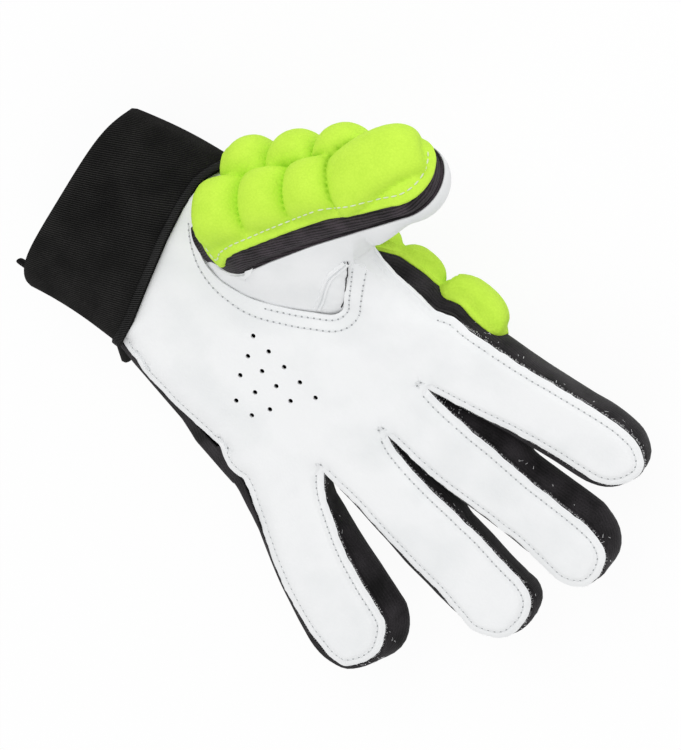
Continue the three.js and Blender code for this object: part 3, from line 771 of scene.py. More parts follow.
# The groove along the stitches, the raised edge, the fall to the thumb, the reach of the web.
GROOVE_AT, GROOVE_DEEP, GROOVE_HALF = 2.7, 0.5, 0.65
RAISED_HIGH, RAISED_WIDE, THUMB_FALL, WEB_REACH = 0.8, 2.0, 9.0, 17.0
FRONT_STEP, FRONT_ROWS = 2.1, (0.9, 1.8, 2.7, 3.6, 4.8)
FRONT_THREAD, FRONT_HOLE = 0.32, 0.36


def front_outline():
    """The cut edge of the whole front, a little ragged along its stitched side."""
    seam = seam_line(1.1)
    ragged = 0.34 * ripple(seam, 5.0, 5) + 0.2 * ripple(seam, 1.9, 6)
    ragged *= ease((from_crotches(seam) - 3.0) / 5.0)
    ragged[[0, -1]] = 0.0
    seam = seam + leftward(seam) * ragged[:, None]
    wrist = even(curve(WRIST_EDGE, 1.0), 1.3)
    opening = even(curve(THUMB_OPENING, 1.0), 1.1)
    return np.vstack([seam[:-1], wrist[:-1], opening[:-1]])


def front_height(points):
    """The height of the front leather over points of the hand plane."""
    points = np.asarray(points, float)
    x, y = points[:, 0], points[:, 1]
    d = gaps(SEAM_TREE, points)
    on_palm = 1.0 - ease((y - 78.0) / 20.0)
    deep, wide = EDGE_DEEP + PALM_DEEPER * on_palm, EDGE_WIDE + PALM_WIDER * on_palm
    height = PALM_TOP - deep * fade(d / wide) ** 2.2
    height -= GROOVE_DEEP * np.exp(-((d - GROOVE_AT) / GROOVE_HALF) ** 2)
    height += RAISED_HIGH * fade(d / RAISED_WIDE)
    height -= THUMB_FALL * ease((-20.0 - x) / 17.0) * (1.0 - ease((y - 20.0) / 30.0))
    web = [WEB_TREE.find((p[0], p[1], 0.0)) for p in points]
    lift = np.array([WEB_LINE[k, 2] - PALM_TOP for _, k, _ in web])
    height += lift * (1.0 - ease(np.array([far for _, _, far in web]) / WEB_REACH))
    height += 0.35 * ripple(points, 17.0, 1) + 0.12 * ripple(points, 6.0, 2)
    height += 0.22 * ripple(points, 4.0, 3) * fade(d / 4.0)
    for start, end, deep, half in PALM_FOLDS:
        way, off = np.subtract(end, start), points[:, :2] - start
        share = np.clip(off @ way / np.sum(way ** 2), 0.0, 1.0)
        apart = np.linalg.norm(off - share[:, None] * way, axis=1) / half
        height -= deep * np.exp(-apart ** 2) - 0.4 * deep * np.exp(-(apart / 2.2) ** 2)
    return height


def vent_holes(radius):
    """The outlines of the palm's vent holes."""
    ring = np.column_stack([np.cos(turns(12)), np.sin(turns(12))]) * radius
    return [np.array(first) + np.subtract(last, first) * k / (count - 1) + ring
            for first, last, count in VENT_ROWS for k in range(count)]


def front_sheet(radius):
    """The whole front as one cut of leather, bent to its height and cut at the finger joints."""
    bm = sheet(front_outline(), vent_holes(radius), FRONT_STEP, FRONT_ROWS)
    points = spots(bm)
    points[:, 2] = front_height(points[:, :2])
    move(bm, points)
    for name in FINGERS:
        digit = DIGITS[name]
        for along in (0.0, split_at(digit)):
            middles = np.array([f.calc_center_median() for f in bm.faces])
            near = [f for f, k in zip(bm.faces, in_finger(digit, middles, -6.0, FAR)) if k]
            cut(bm, digit.placed(along, 0.0, 0.0), digit.along, near)
    return bm


def in_finger(digit, points, low, high):
    """Which points lie on a finger between two lengths along it, and on its side of each crotch."""
    points = np.asarray(points, float)
    k = FINGERS.index(digit.name)
    u = digit.measured(points)[0]
    held = (u > low) & (u < high)
    for crotch, other, side in ((k - 1, k - 1, 1.0), (k, k + 1, -1.0)):
        if 0 <= other < len(FINGERS):
            ahead = digit.along + DIGITS[FINGERS[other]].along
            away = points[:, :2] - CROTCHES[crotch]
            held &= (away[:, 0] * ahead[1] - away[:, 1] * ahead[0]) * side > 0
    return held


def front_runs(line, inset, guard):
    """The parts of a line of stitches that run at an inset inside an edge of the front leather."""
    inset = np.asarray(inset)
    inner = line - leftward(line) * inset.reshape(-1, 1)
    held = (gaps(guard, inner) > inset * 0.95) & (from_crotches(line) > 1.2)
    leaps = np.linalg.norm(np.diff(inner, axis=0), axis=1) > 3.0
    cuts = np.flatnonzero(~held[1:] | ~held[:-1] | leaps) + 1
    return [run for run in np.split(inner, cuts) if len(run) > 12]


def crotch_runs(line, inset):
    """Stitches that meet in a point beyond the end of each cut between two fingers."""
    runs = []
    for crotch in np.array(CROTCHES):
        k = int(np.argmin(np.linalg.norm(line - crotch, axis=1)))
        tip = crotch + unit(crotch - (line[k - 8] + line[k + 8]) / 2) * (inset + 2.4)
        sides = (line[k - 2], line[k] - line[k - 5]), (line[k + 2], line[k + 5] - line[k])
        for side, way in sides:
            start = side + unit(np.array([way[1], -way[0]])) * inset
            runs.append(even([start, tip], 0.6))
    return runs


def on_front(run, lift=0.05):
    """A flat run of points laid on the front leather, with its normals."""
    step = 0.3
    slope = [(front_height(run + shift) - front_height(run - shift)) / (2 * step)
             for shift in (np.array([step, 0.0]), np.array([0.0, step]))]
    normals = np.column_stack([-slope[0], -slope[1], np.ones(len(run))])
    return np.column_stack([run, front_height(run) + lift]), normals


class GLOVE_OT_front(bpy.types.Operator):
    """Cut and shape the white leather of the palm and the fingers"""

    bl_idname = "glove.front"
    bl_label = "Front Leather"

    def execute(self, context):
        sizes, colours = context.scene.glove_sizes, context.scene.glove_colours
        leather = synthetic_leather(colours.leather, colours.leather_shade)
        thickness = sizes.leather_thickness / MM
        whole = front_sheet(sizes.vent_radius / MM)

        def on_palm(points):
            return ~np.any([in_finger(DIGITS[n], points, 0.0, FAR) for n in FINGERS], axis=0)

        palm = thicken(part(whole, on_palm), thickness)
        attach(piece(palm, "palm_front", leather, ["palm_leather"]), "hand")
        side = curve(THUMB_SIDE_EDGE[:5], 0.6)[1:]
        turned = on_front(side - leftward(side) * 0.75, 0.0)[0]
        welt = band(turned, 0.85, 0.5, (1.0, 0.0, -0.5))
        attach(piece(welt, "palm_turned_edge", leather), "hand")
        for name in FINGERS:
            digit = DIGITS[name]
            parts = [part(whole, lambda points: in_finger(digit, points, low, high))
                     for _, low, high in halves(digit)]
            add_halves(parts, digit, thickness, leather,
                       {name + "_front_root": [name + "_base_leather"],
                        name + "_front_tip": [name + "_tip_leather"]})
        whole.free()
        return {"FINISHED"}


class GLOVE_OT_front_stitches(bpy.types.Operator):
    """Sew the seams of the palm and the fingers"""

    bl_idname = "glove.front_stitches"
    bl_label = "Front Stitches"

    def execute(self, context):
        sizes, colours = context.scene.glove_sizes, context.scene.glove_colours
        yarn = sewing_thread("white_thread", colours.thread)
        shadow = painted_hole_shade(colours.needle_hole_shade)
        pitch, inset = sizes.stitch_pitch / MM, sizes.seam_inset / MM
        line = seam_line(0.6)
        runs = crotch_runs(line, inset)
        # No stitches show along the turned edge at the index side.
        runs += front_runs(line[(line[:, 0] > -36.0) | (line[:, 1] > 89.0)], inset, SEAM_TREE)
        opening = curve(THUMB_OPENING, 0.6)
        opening = opening[(opening[:, 1] > 1.5) & (opening[:, 0] > -41.0)]
        guard = tree(opening)
        within, first, last = OPENING_ROWS
        outer = first + (last - first) * ease((opening[:, 1] - 4.0) / 36.0)
        runs += front_runs(opening, outer, guard)
        runs += front_runs(opening[opening[:, 1] > 38.0], within, guard)
        groups = {}
        for run in runs:
            run = even(run, pitch / 2)
            keys = np.full(len(run), "palm", dtype=object)
            for name in FINGERS:
                for end, low, high in halves(DIGITS[name]):
                    keys[in_finger(DIGITS[name], flat(run), low, high)] = name + "_" + end
            cuts = np.flatnonzero(keys[1:] != keys[:-1]) + 1
            for held, key in zip(np.split(run, cuts), np.split(keys, cuts)):
                if len(held) > 2:
                    groups.setdefault(key[0], []).append(on_front(held))
        for key, lines in groups.items():
            name, _, end = key.partition("_")
            for made in add_stitches(key + "_front_seam", lines, pitch, FRONT_THREAD, yarn,
                                     FRONT_HOLE, shadow):
                if key == "palm":
                    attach(made, "hand")
                else:
                    BENDS[end](made, DIGITS[name])
        return {"FINISHED"}


# Loose fibres

LINT_COUNT = 26


def lint_places(chance, skin, low, high):
    """Places of specks of lint on the showing side of a knit, between two lengths along it."""
    rows, places = skin.rows, []
    while len(places) < LINT_COUNT:
        k, c = chance.randrange(1, len(rows) - 1), chance.randrange(1, rows.shape[1] - 1)
        if (not low < skin.edges[k, 0] < high or skin.edges[k, 1] > skin.centres[k, 1] + 4.0
                or chance.random() < 0.4):
            continue
        if c < 0.45 * rows.shape[1]:
            continue
        ahead, aside = rows[k + 1, c] - rows[k - 1, c], rows[k, c + 1] - rows[k, c - 1]
        up = np.cross(ahead, aside)
        if min(np.linalg.norm(way) for way in (ahead, aside, up)) < 1e-3:
            continue
        up = unit(up)
        if up @ (rows[k, c] - skin.digit.placed(*skin.centres[k], -14.0)) < 0:
            up = -up
        spin = chance.uniform(0.0, math.pi)
        along = math.cos(spin) * unit(ahead) + math.sin(spin) * np.cross(up, unit(ahead))
        length, thick = chance.uniform(0.15, 0.75), chance.uniform(0.07, 0.13)
        spot = rows[k, c] + ahead * chance.uniform(-0.5, 0.5)
        spot = spot + aside * chance.uniform(-0.5, 0.5) + up * 0.12
        places.append((spot, np.array([np.cross(along, up) * thick, up * thick, along * length])))
    return places


def fringe_places(chance, line):
    """Places of fibres that stand out from the raw edge of the leather."""
    places = []
    for spot, step in zip(line, unit(np.gradient(line, axis=0))):
        if chance.random() < 0.35:
            continue
        lean = chance.uniform(-0.9, 0.9)
        along = unit(np.array([-step[1] + lean * step[0], step[0] + lean * step[1],
                               chance.uniform(-0.7, 0.1)]))
        aside = unit(np.cross(along, (0.0, 0.0, 1.0)))
        length, thick = chance.uniform(0.12, 0.42), chance.uniform(0.05, 0.09)
        low = np.array([spot[0], spot[1], front_height([spot])[0] - 0.45])
        axes = np.array([aside * thick, np.cross(along, aside) * thick, along * length])
        places.append((low + along * length * 0.8, axes))
    return places


class GLOVE_OT_lint(bpy.types.Operator):
    """Scatter lint on the knits and fibres along the raw edges of the leather"""

    bl_idname = "glove.lint"
    bl_label = "Lint"

    def execute(self, context):
        chance = random.Random(7)
        wool = sewing_thread("white_lint", context.scene.glove_colours.lint)
        line = even(seam_line(0.5), 0.36)
        for name in FINGERS:
            digit, skin = DIGITS[name], finger_skin(name)
            for end, low, high in halves(digit):
                places = fringe_places(chance, line[in_finger(digit, flat(line), low, high)])
                places += lint_places(chance, skin, low + 2.0, high)
                fibres = copies(small_cone(4, 0.5, 2.0), places)
                BENDS[end](piece(fibres, name + "_lint_" + end, wool), digit)
        return {"FINISHED"}


# The knitted sides and backs

# One side of a knit from the leather's edge to the middle of the back: share of the half
# width, millimetres outwards, shares of the bulge and of the outer welt, share of the depth.
FINGER_PROFILE = [
    (1, 0.3, 0, 0.3, 0), (1, -0.9, 0, 0.7, 0.035), (1, -1.4, 0, 0.95, 0.075),
    (1, -0.5, 0.35, 1, 0.19), (1, 0.2, 0.9, 0.8, 0.40), (1, 0.1, 1, 0.5, 0.62),
    (0.96, -0.2, 0.7, 0.2, 0.81), (0.84, 0, 0.3, 0, 0.945), (0.62, 0, 0, 0, 0.995),
    (0.3, 0, 0, 0, 1), (0, 0, 0, 0, 1)]
THUMB_PROFILE = [
    (1, 0.3, 0, 0, 0), (1, -0.6, 0.1, 0, 0.04), (1, -0.5, 0.5, 0, 0.1), (0.99, 0, 1, 0, 0.24),
    (0.92, 0, 0.8, 0, 0.48), (0.76, 0, 0.3, 0, 0.74), (0.52, 0, 0, 0, 0.91), (0.26, 0, 0, 0, 0.98),
    (0, 0, 0, 0, 1)]
# How far each knit bulges on its thumb side and stands out on its outer side, at lengths along it.
SIDE_BULGE = {
    "index": (
        [-27, -16, -8, 0, 8, 20, 32, 44, 52, 60, 68, 76],
        [0.6, 2.8, 3.4, 1.8, 1.3, 0.8, -0.2, -0.8, -0.7, 0.2, 0.4, 0]),
    "middle": (
        [0, 8, 20, 32, 38, 44, 56, 74, 80, 88], [0.6, 1.7, 4.2, 5.3, 5.4, 3.9, 4.5, 6.1, 5, 4]),
    "ring": (
        [0, 8, 20, 32, 38, 44, 50, 56, 62, 68, 74, 82],
        [-0.3, -0.4, -0.6, 0.3, -1.1, -3, -3.1, -2.6, -2.2, -2, -1.3, 2]),
    "little": (
        [0, 8, 14, 20, 26, 32, 44, 56, 64, 70],
        [-1.4, -1.6, -1.6, 0, 1.6, 2.8, 4.5, 5.4, 6.2, 7.2]),
    "thumb": ([-6, 24], [0, 0.8]), "hand": ([-6, 24, 58, 74, 88, 100], [0, 0.6, 1.4, 4.2, 4, 2.6])}
OUTER_WELT = {
    "index": ([0, 30, 42, 64, 72, 80], [1, 2.4, 3.2, 3.2, 2, 1]),
    "middle": ([0, 36, 62, 70, 90], [1.5, 1.9, 1.9, 0.6, 0]),
    "ring": ([0, 30, 40, 56, 64, 70, 90], [2, 2.1, 2.8, 2.8, 1.8, 0.6, 0]),
    "little": ([-20, -10, 0, 8, 14, 44, 56, 62, 70], [7.2, 6.8, 4.8, 3, 2.3, 2.6, 3.3, 4.2, 3.6]),
    "thumb": ([0], [0]), "hand": ([0, 15, 33, 52, 67, 98], [3, 4, 4.2, 5, 7, 7.2])}
TIP_WELT = {"index": 0.6, "middle": 1.4, "ring": 1.8, "little": 2.5}
# Where the knits start, how far a finger's root is tucked under the knit of the hand, and over
# what length.
KNIT_START, LITTLE_KNIT_START, HAND_KNIT_START, HAND_KNIT_END = -27.0, -20.0, -1.5, 98.5
ROOT_TUCK, TUCK_REACH, TIP_ROUND = 2.2, 13.0, 11.0


class Skin:
    """The knit of a digit as rows of points from the middle of its back to the leather's edge,
    one row for each place along its edge: down its thumb side, round the tip and back up the
    outer side."""

    def __init__(self, digit, edge, start, turn, profile, lip, back, step=2.0):
        u = edge[:, 0]
        far = int(np.argmax(u))
        stations = np.linspace(start, turn, round((turn - start) / step) + 1)
        left = np.interp(stations, u[:far + 1], edge[:far + 1, 1])
        right = np.interp(stations, u[far:][::-1], edge[far:, 1][::-1])
        centre = np.column_stack([stations, (left + right) / 2])
        arc = even(edge[u > turn + 0.3], step) if u[far] > turn + 2.0 else np.empty((0, 2))
        self.edges = np.vstack([np.column_stack([stations, left]), arc,
                                np.column_stack([stations, right])[::-1]])
        self.centres = np.vstack([centre, np.tile(centre[-1], (len(arc), 1)), centre[::-1]])
        self.digit, self.start, self.turn = digit, start, turn
        self.step, self.count, self.arc = stations[1] - start, len(stations), len(arc)
        profile = curve(profile, 0.055)[::-1]
        arm = self.edges - self.centres
        length = np.linalg.norm(arm, axis=1)
        out = arm / length[:, None]
        along, outer = self.edges[:, 0], np.clip(out[:, 1], 0.0, 1.0)
        bulge = np.interp(along, *SIDE_BULGE[digit.name]) * np.clip(-out[:, 1], 0.0, 1.0)
        welt = np.interp(along, *OUTER_WELT[digit.name]) * outer
        welt += TIP_WELT.get(digit.name, 0.0) * np.clip(out[:, 0], 0.0, 1.0) * (1.0 - outer)
        reach = (length[:, None] * profile[:, 0] + fade(welt / 1.5)[:, None] * profile[:, 1]
                 + np.maximum(bulge, 0.0)[:, None] * profile[:, 2] + welt[:, None] * profile[:, 3]
                 + np.minimum(bulge, 0.0)[:, None] * profile[:, 0] * ease(profile[:, 4] / 0.4))
        if digit.name in FINGERS:
            tucked = 1.0 - ease((self.edges[:, :1] - start) / TUCK_REACH)
            reach -= ROOT_TUCK * tucked * profile[:, 0]
        spread = self.centres[:, None] + out[:, None] * np.maximum(reach, 0.0)[:, :, None]
        high, low = lip(along)[:, None], back(self.centres[:, 0])[:, None]
        height = high + (low - high) * profile[:, 4]
        self.rows = digit.placed(spread[:, :, 0], spread[:, :, 1], height)
        self.reach = np.array([lengths(line) for line in self.rows])

    def row_at(self, k, far):
        """The point of a row at a length from the middle of the back."""
        k = min(max(k, 0), len(self.rows) - 1)
        return np.array([np.interp(far, self.reach[k], axis) for axis in self.rows[k].T])

    def on_back(self, u, s):
        """The point of the back at a length along and a signed length round from its middle."""
        if u <= self.turn:
            at, far = (u - self.start) / self.step, abs(s)
        else:
            far = math.hypot(u - self.turn, s)
            at = self.count - 0.5 + (math.atan2(s, u - self.turn) / math.pi + 0.5) * self.arc
        low = int(math.floor(at))
        share = at - low
        ends = [low, low + 1]
        if u <= self.turn and s > 0:
            ends = [len(self.rows) - 1 - k for k in ends]
        return self.row_at(ends[0], far) * (1 - share) + self.row_at(ends[1], far) * share


def finger_skin(name):
    """The knit of a finger."""
    digit, k = DIGITS[name], FINGERS.index(name)
    rootwards = np.array([0.0, 26.0])
    before = THUMB_SIDE_EDGE[1:] if k == 0 else [CROTCHES[k - 1] - rootwards, CROTCHES[k - 1]]
    after = OUTER_EDGE[:4:3] if k == 3 else [CROTCHES[k], CROTCHES[k] - rootwards]
    line = curve(np.vstack([before, finger_cut(name), after]), 0.7)
    edge = np.column_stack(digit.measured(flat(line))[:2])
    far = edge[:, 0].max()

    def lip(u):
        return -3.9 - 1.6 * (1.0 - ease((u + 8.0) / 14.0))

    def back(u):
        return -22.0 - 3.0 * (1.0 - ease((u + 20.0) / 14.0)) + 3.0 * ease((u - far + 38.0) / 30.0)

    start = KNIT_START if k < 3 else LITTLE_KNIT_START
    return Skin(digit, edge, start, far - TIP_ROUND, FINGER_PROFILE, lip, back)


def hand_skin():
    """The knit of the hand's back and sides."""
    outer = np.interp(np.multiply(HAND_EDGE_Y, 0.66), HAND_EDGE_Y, HAND_OUTER_X) - 0.6
    left, right = [curve(np.column_stack([HAND_EDGE_Y, x]), 1.0) for x in (HAND_THUMB_X, outer)]
    return Skin(HAND, np.vstack([left, right[::-1]]), HAND_KNIT_START, HAND_KNIT_END,
                FINGER_PROFILE, lip=lambda u: np.full(len(u), -5.7),
                back=lambda u: np.full(len(u), HAND_BACK - PALM_TOP))


def knit_mesh(skin):
    """A knit as a sheet, with its lengths round for the wales."""
    return welded(grid(skin.rows, skin.reach, "round"), WELD,
                  np.mean(skin.rows.reshape(-1, 3), axis=0))


class GLOVE_OT_finger_knits(bpy.types.Operator):
    """Knit the sides, tips and backs of the fingers"""

    bl_idname = "glove.finger_knits"
    bl_label = "Finger Knits"

    def execute(self, context):
        colours = context.scene.glove_colours
        thickness = context.scene.glove_sizes.knit_thickness / MM
        knit = brushed_knit("brushed_knit", colours.knit, colours.knit_bloom_and_highlight, 0.3)
        for name in FINGERS:
            digit = DIGITS[name]
            add_halves(split(knit_mesh(finger_skin(name)), digit), digit, thickness, knit,
                       {name + "_knit_root": [name + "_base_back", name + "_fourchette_thumb_side",
                                              name + "_fourchette_outer_side"],
                        name + "_knit_end": [name + "_tip_knit"]})
        return {"FINISHED"}


def back_share(points):
    """How much of its length the hand's knit keeps at points of it, as it ends sooner low on
    the back."""
    end = np.interp(points[:, 0], BACK_END_X, BACK_END_Y) - 0.88 * (PALM_TOP - points[:, 2])
    return (end - HAND_KNIT_START) / (HAND_KNIT_END - HAND_KNIT_START)


class GLOVE_OT_hand_knit(bpy.types.Operator):
    """Knit the back and the two sides of the hand"""

    bl_idname = "glove.hand_knit"
    bl_label = "Hand Knit"

    def execute(self, context):
        knit = bpy.data.materials["brushed_knit"]
        bm = knit_mesh(hand_skin())
        points = spots(bm)
        along = points[:, 1] - HAND_KNIT_START
        points[:, 1] = HAND_KNIT_START + along * back_share(points)
        move(bm, points)
        thicken(bm, context.scene.glove_sizes.knit_thickness / MM)
        made = piece(bm, "hand_knit", knit,
                     ["hand_back", "thumb_side_strip", "outer_side_strip"])
        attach(made, "hand")
        return {"FINISHED"}


# The thumb

# The height of the edge between the thumb's knit and its leather, at lengths along it.
THUMB_EDGE_ALONG = [-50, -42, -34, -28, -20, 0, 20, 38, 52]
THUMB_EDGE_HEIGHT = [8.5, 1.4, -8.4, -12, -13.4, -14.4, -14.6, -14.6, -13.6]
# Where the thumb's leather meets the palm: place along the thumb and point of the opening seam.
THUMB_SEAM = [
    (-46, -24, -0.4), (-40, -12, 3.8), (-34, -5, 11.7), (-27, -2.8, 20), (-19, -3.6, 30),
    (-12, -7, 40), (-5, -12.4, 50), (0, -17, 57.6), (4, -23, 61.8), (8, -29.5, 60.2),
    (12, -35.5, 57), (17, -41.5, 54.2), (22, -49.4, 58)]
# The gusset in the crotch of the thumb: its seam to the thumb and its open edge beside the palm.
GUSSET_SEAM = [
    (-42.6, 53.2, 46.2), (-39, 52.9, 45.4), (-33.3, 52, 44.5), (-27.5, 52.6, 41.8),
    (-22, 53.8, 38.7), (-17.4, 54.1, 36.1)]
GUSSET_SLIT = [
    (-43.3, 53.3, 46.3), (-38.9, 55, 43.4), (-34.8, 56.7, 41.2), (-30.7, 58.3, 39.4),
    (-26.5, 60, 37.5), (-22.9, 60.8, 36.4)]
# The gusset's welt, and a thin strip of black knit along its slit, painted shade of the gap
# with the black knit inside it: places across, and heights there.
WELT = ([-1.5, -1.3, -0.8, -0.35, 0.0, 0.35, 0.8, 1.3, 1.5],
        [0.0, 0.7, 1.1, 0.95, 0.4, 0.95, 1.1, 0.7, 0.0])
SLIT_SHADE = ([-0.26, -0.1, 0.1, 0.26], [0.25, 0.5, 0.5, 0.25])
GUSSET_THICK, TRIM_THICK, BACK_CLEARANCE = 0.5, 0.3, 2.4


def laid_on(surface, points, lift):
    """Points dropped on a surface and lifted off it, with its normals."""
    found = [surface.find_nearest(Vector(p)) for p in points]
    normals = np.array([f[1] for f in found])
    return np.array([f[0] for f in found]) + normals * np.reshape(lift, (-1, 1)), normals


def ribbon(surface, line, across, heights):
    """A strip laid along a line of a surface, with its heights at places across it."""
    line = even(curve(line, 0.5), 0.7)
    spot, normals = laid_on(surface, line, np.zeros(len(line)))
    aside = unit(np.cross(np.gradient(spot, axis=0), normals))
    bm = grid(spot[:, None] + aside[:, None] * np.array(across)[:, None]
              + normals[:, None] * np.array(heights)[:, None])
    facing(bm, lambda spot: Vector(normals.mean(0)))
    return bm


def between(first, second, count, across):
    """Rows of points from one line to another, and the share of the way across."""
    first, second = even(first, count=count), even(second, count=count)
    share = np.linspace(0.0, 1.0, across)
    return first[:, None] * (1 - share)[:, None] + second[:, None] * share[:, None], share


def gusset_patch(surface):
    """The gusset's leather between its seam and its open edge."""
    rows, share = between(curve(GUSSET_SEAM, 0.5), curve(GUSSET_SLIT, 0.5), 30, 10)
    points = rows.reshape(-1, 3)
    lift = 0.25 + 0.5 * np.tile(np.sin(share * math.pi), len(rows)) + 0.25 * ripple(points, 3.0, 8)
    spot, normals = laid_on(surface, points, lift)
    bm = grid(spot.reshape(rows.shape))
    facing(bm, lambda spot: Vector(normals.mean(0)))
    return bm


def thumb_edge():
    """The thumb's widest outline, along and across, from its thumb side round the tip."""
    side = curve(np.column_stack([THUMB_ALONG, THUMB_HALF]), 1.0)
    turn = np.linspace(0.0, math.pi, 48)[1:-1]
    tip = np.column_stack([THUMB_ALONG[-1] + (THUMB_TIP - THUMB_ALONG[-1]) * np.sin(turn),
                           -THUMB_HALF[-1] * np.cos(turn)])
    return np.vstack([side * (1, -1), tip, side[::-1]])


def thumb_edge_height(u):
    return np.interp(u, THUMB_EDGE_ALONG, THUMB_EDGE_HEIGHT)


def thumb_skin():
    """The knit of the thumb."""
    return Skin(DIGITS["thumb"], thumb_edge(), THUMB_EDGE_ALONG[0], THUMB_ALONG[-1], THUMB_PROFILE,
                lip=lambda u: thumb_edge_height(u) - 0.4,
                back=lambda u: THUMB_AXIS - np.interp(u, THUMB_ALONG, THUMB_DEEP), step=1.6)


def above_back(bm):
    """Keeps the thumb's root clear of the knitted back of the hand."""
    points = spots(bm)
    points[:, 2] = np.maximum(points[:, 2], HAND_BACK + BACK_CLEARANCE)
    move(bm, points)
    return bm


def thumb_front_mesh(skin):
    """Leather from the thumb's side edges round its front, opening out to the palm's seam at
    the root."""
    digit, seam = DIGITS["thumb"], np.array(THUMB_SEAM)
    along, across = skin.centres.T
    opening = np.column_stack([np.interp(along, seam[:, 0], seam[:, k]) for k in (1, 2)])
    tuck = 3.2 - 2.6 * ease((along - 12.0) / 8.0)
    opening = opening + unit(opening - np.array([-30.0, 30.0])) * tuck[:, None]
    palm = np.column_stack([opening, front_height(opening) - tuck])
    bulge = digit.placed(along, across, THUMB_AXIS + np.interp(along, THUMB_ALONG, THUMB_DEEP))
    free = ease((along - 22.0) / 14.0)[:, None]
    front = palm * (1 - free) + bulge * free
    out = skin.edges - skin.centres
    rim = skin.edges + 0.5 * unit(out)
    high = thumb_edge_height(skin.edges[:, 0])
    edge = digit.placed(rim[:, 0], rim[:, 1], high)
    middle = digit.placed(along, across, high)
    t = np.linspace(0.0, 1.0, 26)
    full = (0.06 + 0.94 * ease((along - 18.0) / 14.0))[:, None]
    aside = (1 - t) * (1 - full) + np.cos(t * math.pi / 2) ** 0.95 * full
    down = t * (1 - full) + np.sin(t * math.pi / 2) ** 0.95 * full
    return grid(middle[:, None] + (edge - middle)[:, None] * aside[:, :, None]
                + (front - middle)[:, None] * down[:, :, None])


class GLOVE_OT_thumb_leather(bpy.types.Operator):
    """Shape the thumb's white leather from the palm's opening to its tip"""

    bl_idname = "glove.thumb_leather"
    bl_label = "Thumb Leather"

    def execute(self, context):
        digit, leather = DIGITS["thumb"], bpy.data.materials["synthetic_leather"]
        thickness = context.scene.glove_sizes.leather_thickness / MM
        whole = above_back(thumb_front_mesh(thumb_skin()))
        bmesh.ops.remove_doubles(whole, verts=whole.verts, dist=WELD)
        middle = Vector(digit.placed(20.0, 0.0, THUMB_AXIS))

        def outward(spot):
            """The way out of the thumb at its free end, which tells for the whole leather."""
            return (spot - middle) * float(digit.measured([spot])[0][0] > 15.0)

        facing(whole, outward)
        root, tip = split(whole, digit)
        surface = BVHTree.FromBMesh(root)
        patch = thicken(gusset_patch(surface), GUSSET_THICK)
        bend_root(piece(patch, "gusset_leather", leather, ["thumb_gusset"]), digit)
        welt = thicken(ribbon(surface, GUSSET_SEAM, *WELT), TRIM_THICK)
        bend_root(piece(welt, "gusset_welt", leather), digit)
        # A thin strip of black knit over the slit: painted shade of the gap, and the black knit
        # inside it.
        slit_shade = thicken(ribbon(surface, GUSSET_SLIT, *SLIT_SHADE), TRIM_THICK)
        knit = bpy.data.materials["brushed_knit"]
        bend_root(piece(slit_shade, "gusset_slit_shade", knit), digit)
        add_halves((root, tip), digit, thickness, leather,
                   {"thumb_front_root": ["thumb_root_leather", "thumb_base_leather"],
                    "thumb_front_tip": ["thumb_tip_leather"]})
        return {"FINISHED"}


class GLOVE_OT_thumb_knit(bpy.types.Operator):
    """Knit the strip and the back under the thumb's pad"""

    bl_idname = "glove.thumb_knit"
    bl_label = "Thumb Knit"

    def execute(self, context):
        colours, digit = context.scene.glove_colours, DIGITS["thumb"]
        thickness = context.scene.glove_sizes.knit_thickness / MM
        knit = brushed_knit("ribbed_knit", colours.knit, colours.thumb_strip_bloom_and_highlight, 1.0)
        parts = split(above_back(knit_mesh(thumb_skin())), digit)
        add_halves(parts, digit, thickness, knit,
                   {"thumb_knit_root": ["thumb_root_knit", "thumb_base_knit"],
                    "thumb_knit_end": ["thumb_tip_knit"]})
        return {"FINISHED"}


# The padded covers

FLANGE_LIFT, FLANGE_EDGE, UNDER_LIFT = 1.3, 0.5, 0.1
PAD_ROWS = (0.7, 1.6, 2.6)
# How sharply a dome falls at its sides, and how softly two domes meet.
DOME_POWER, DOME_SOFT = 2.15, 0.35


def cell_lift(points, cells):
    """How far a padded cover stands off what it is sewn to at points of its flat pattern, and
    how much painted shade they take in the creases between cells. A cell falls steeply to its
    neighbours, and softly where it runs out into the flange."""
    domes = []
    for u, s, half_u, half_high, half_low, rise, turn in cells:
        cos, sin = math.cos(math.radians(turn)), math.sin(math.radians(turn))
        du, ds = points[:, 0] - u, points[:, 1] - s
        a = np.clip(np.abs(du * cos + ds * sin) / half_u, 0.0, 1.0)
        side = ds * cos - du * sin
        b = np.clip(np.where(side > 0, side / half_high, -side / half_low), 0.0, 1.0)
        softer = 1.1 * ease(2.0 * half_low / half_high - 2.0) * b
        fall = 0.5 + np.where(side > 0, 0.0, softer)
        domes.append(rise * (1 - a ** DOME_POWER) ** 0.5 * (1 - b ** DOME_POWER) ** fall)
    lift = DOME_SOFT * np.log(np.mean(np.exp(np.array(domes) / DOME_SOFT), axis=0))
    second, first = np.sort(np.array(domes + [np.zeros(len(points))]), axis=0)[-2:]
    # The second value is painted shade: darkest where two cells meet in a crease, and on a lone
    # cell's low flanks.
    return FLANGE_LIFT + lift, np.exp((second - first) / 1.3) * ease(first / 3.0)


def stood_off(base, points, lift):
    """Points lifted off a curved base along its outward side."""
    step = 0.4
    spot = np.array([base(u, s) for u, s in points])
    along = np.array([base(u + step, s) - base(u - step, s) for u, s in points])
    across = np.array([base(u, s + step) - base(u, s - step) for u, s in points])
    return spot - unit(np.cross(across, along)) * np.reshape(lift, (-1, 1))


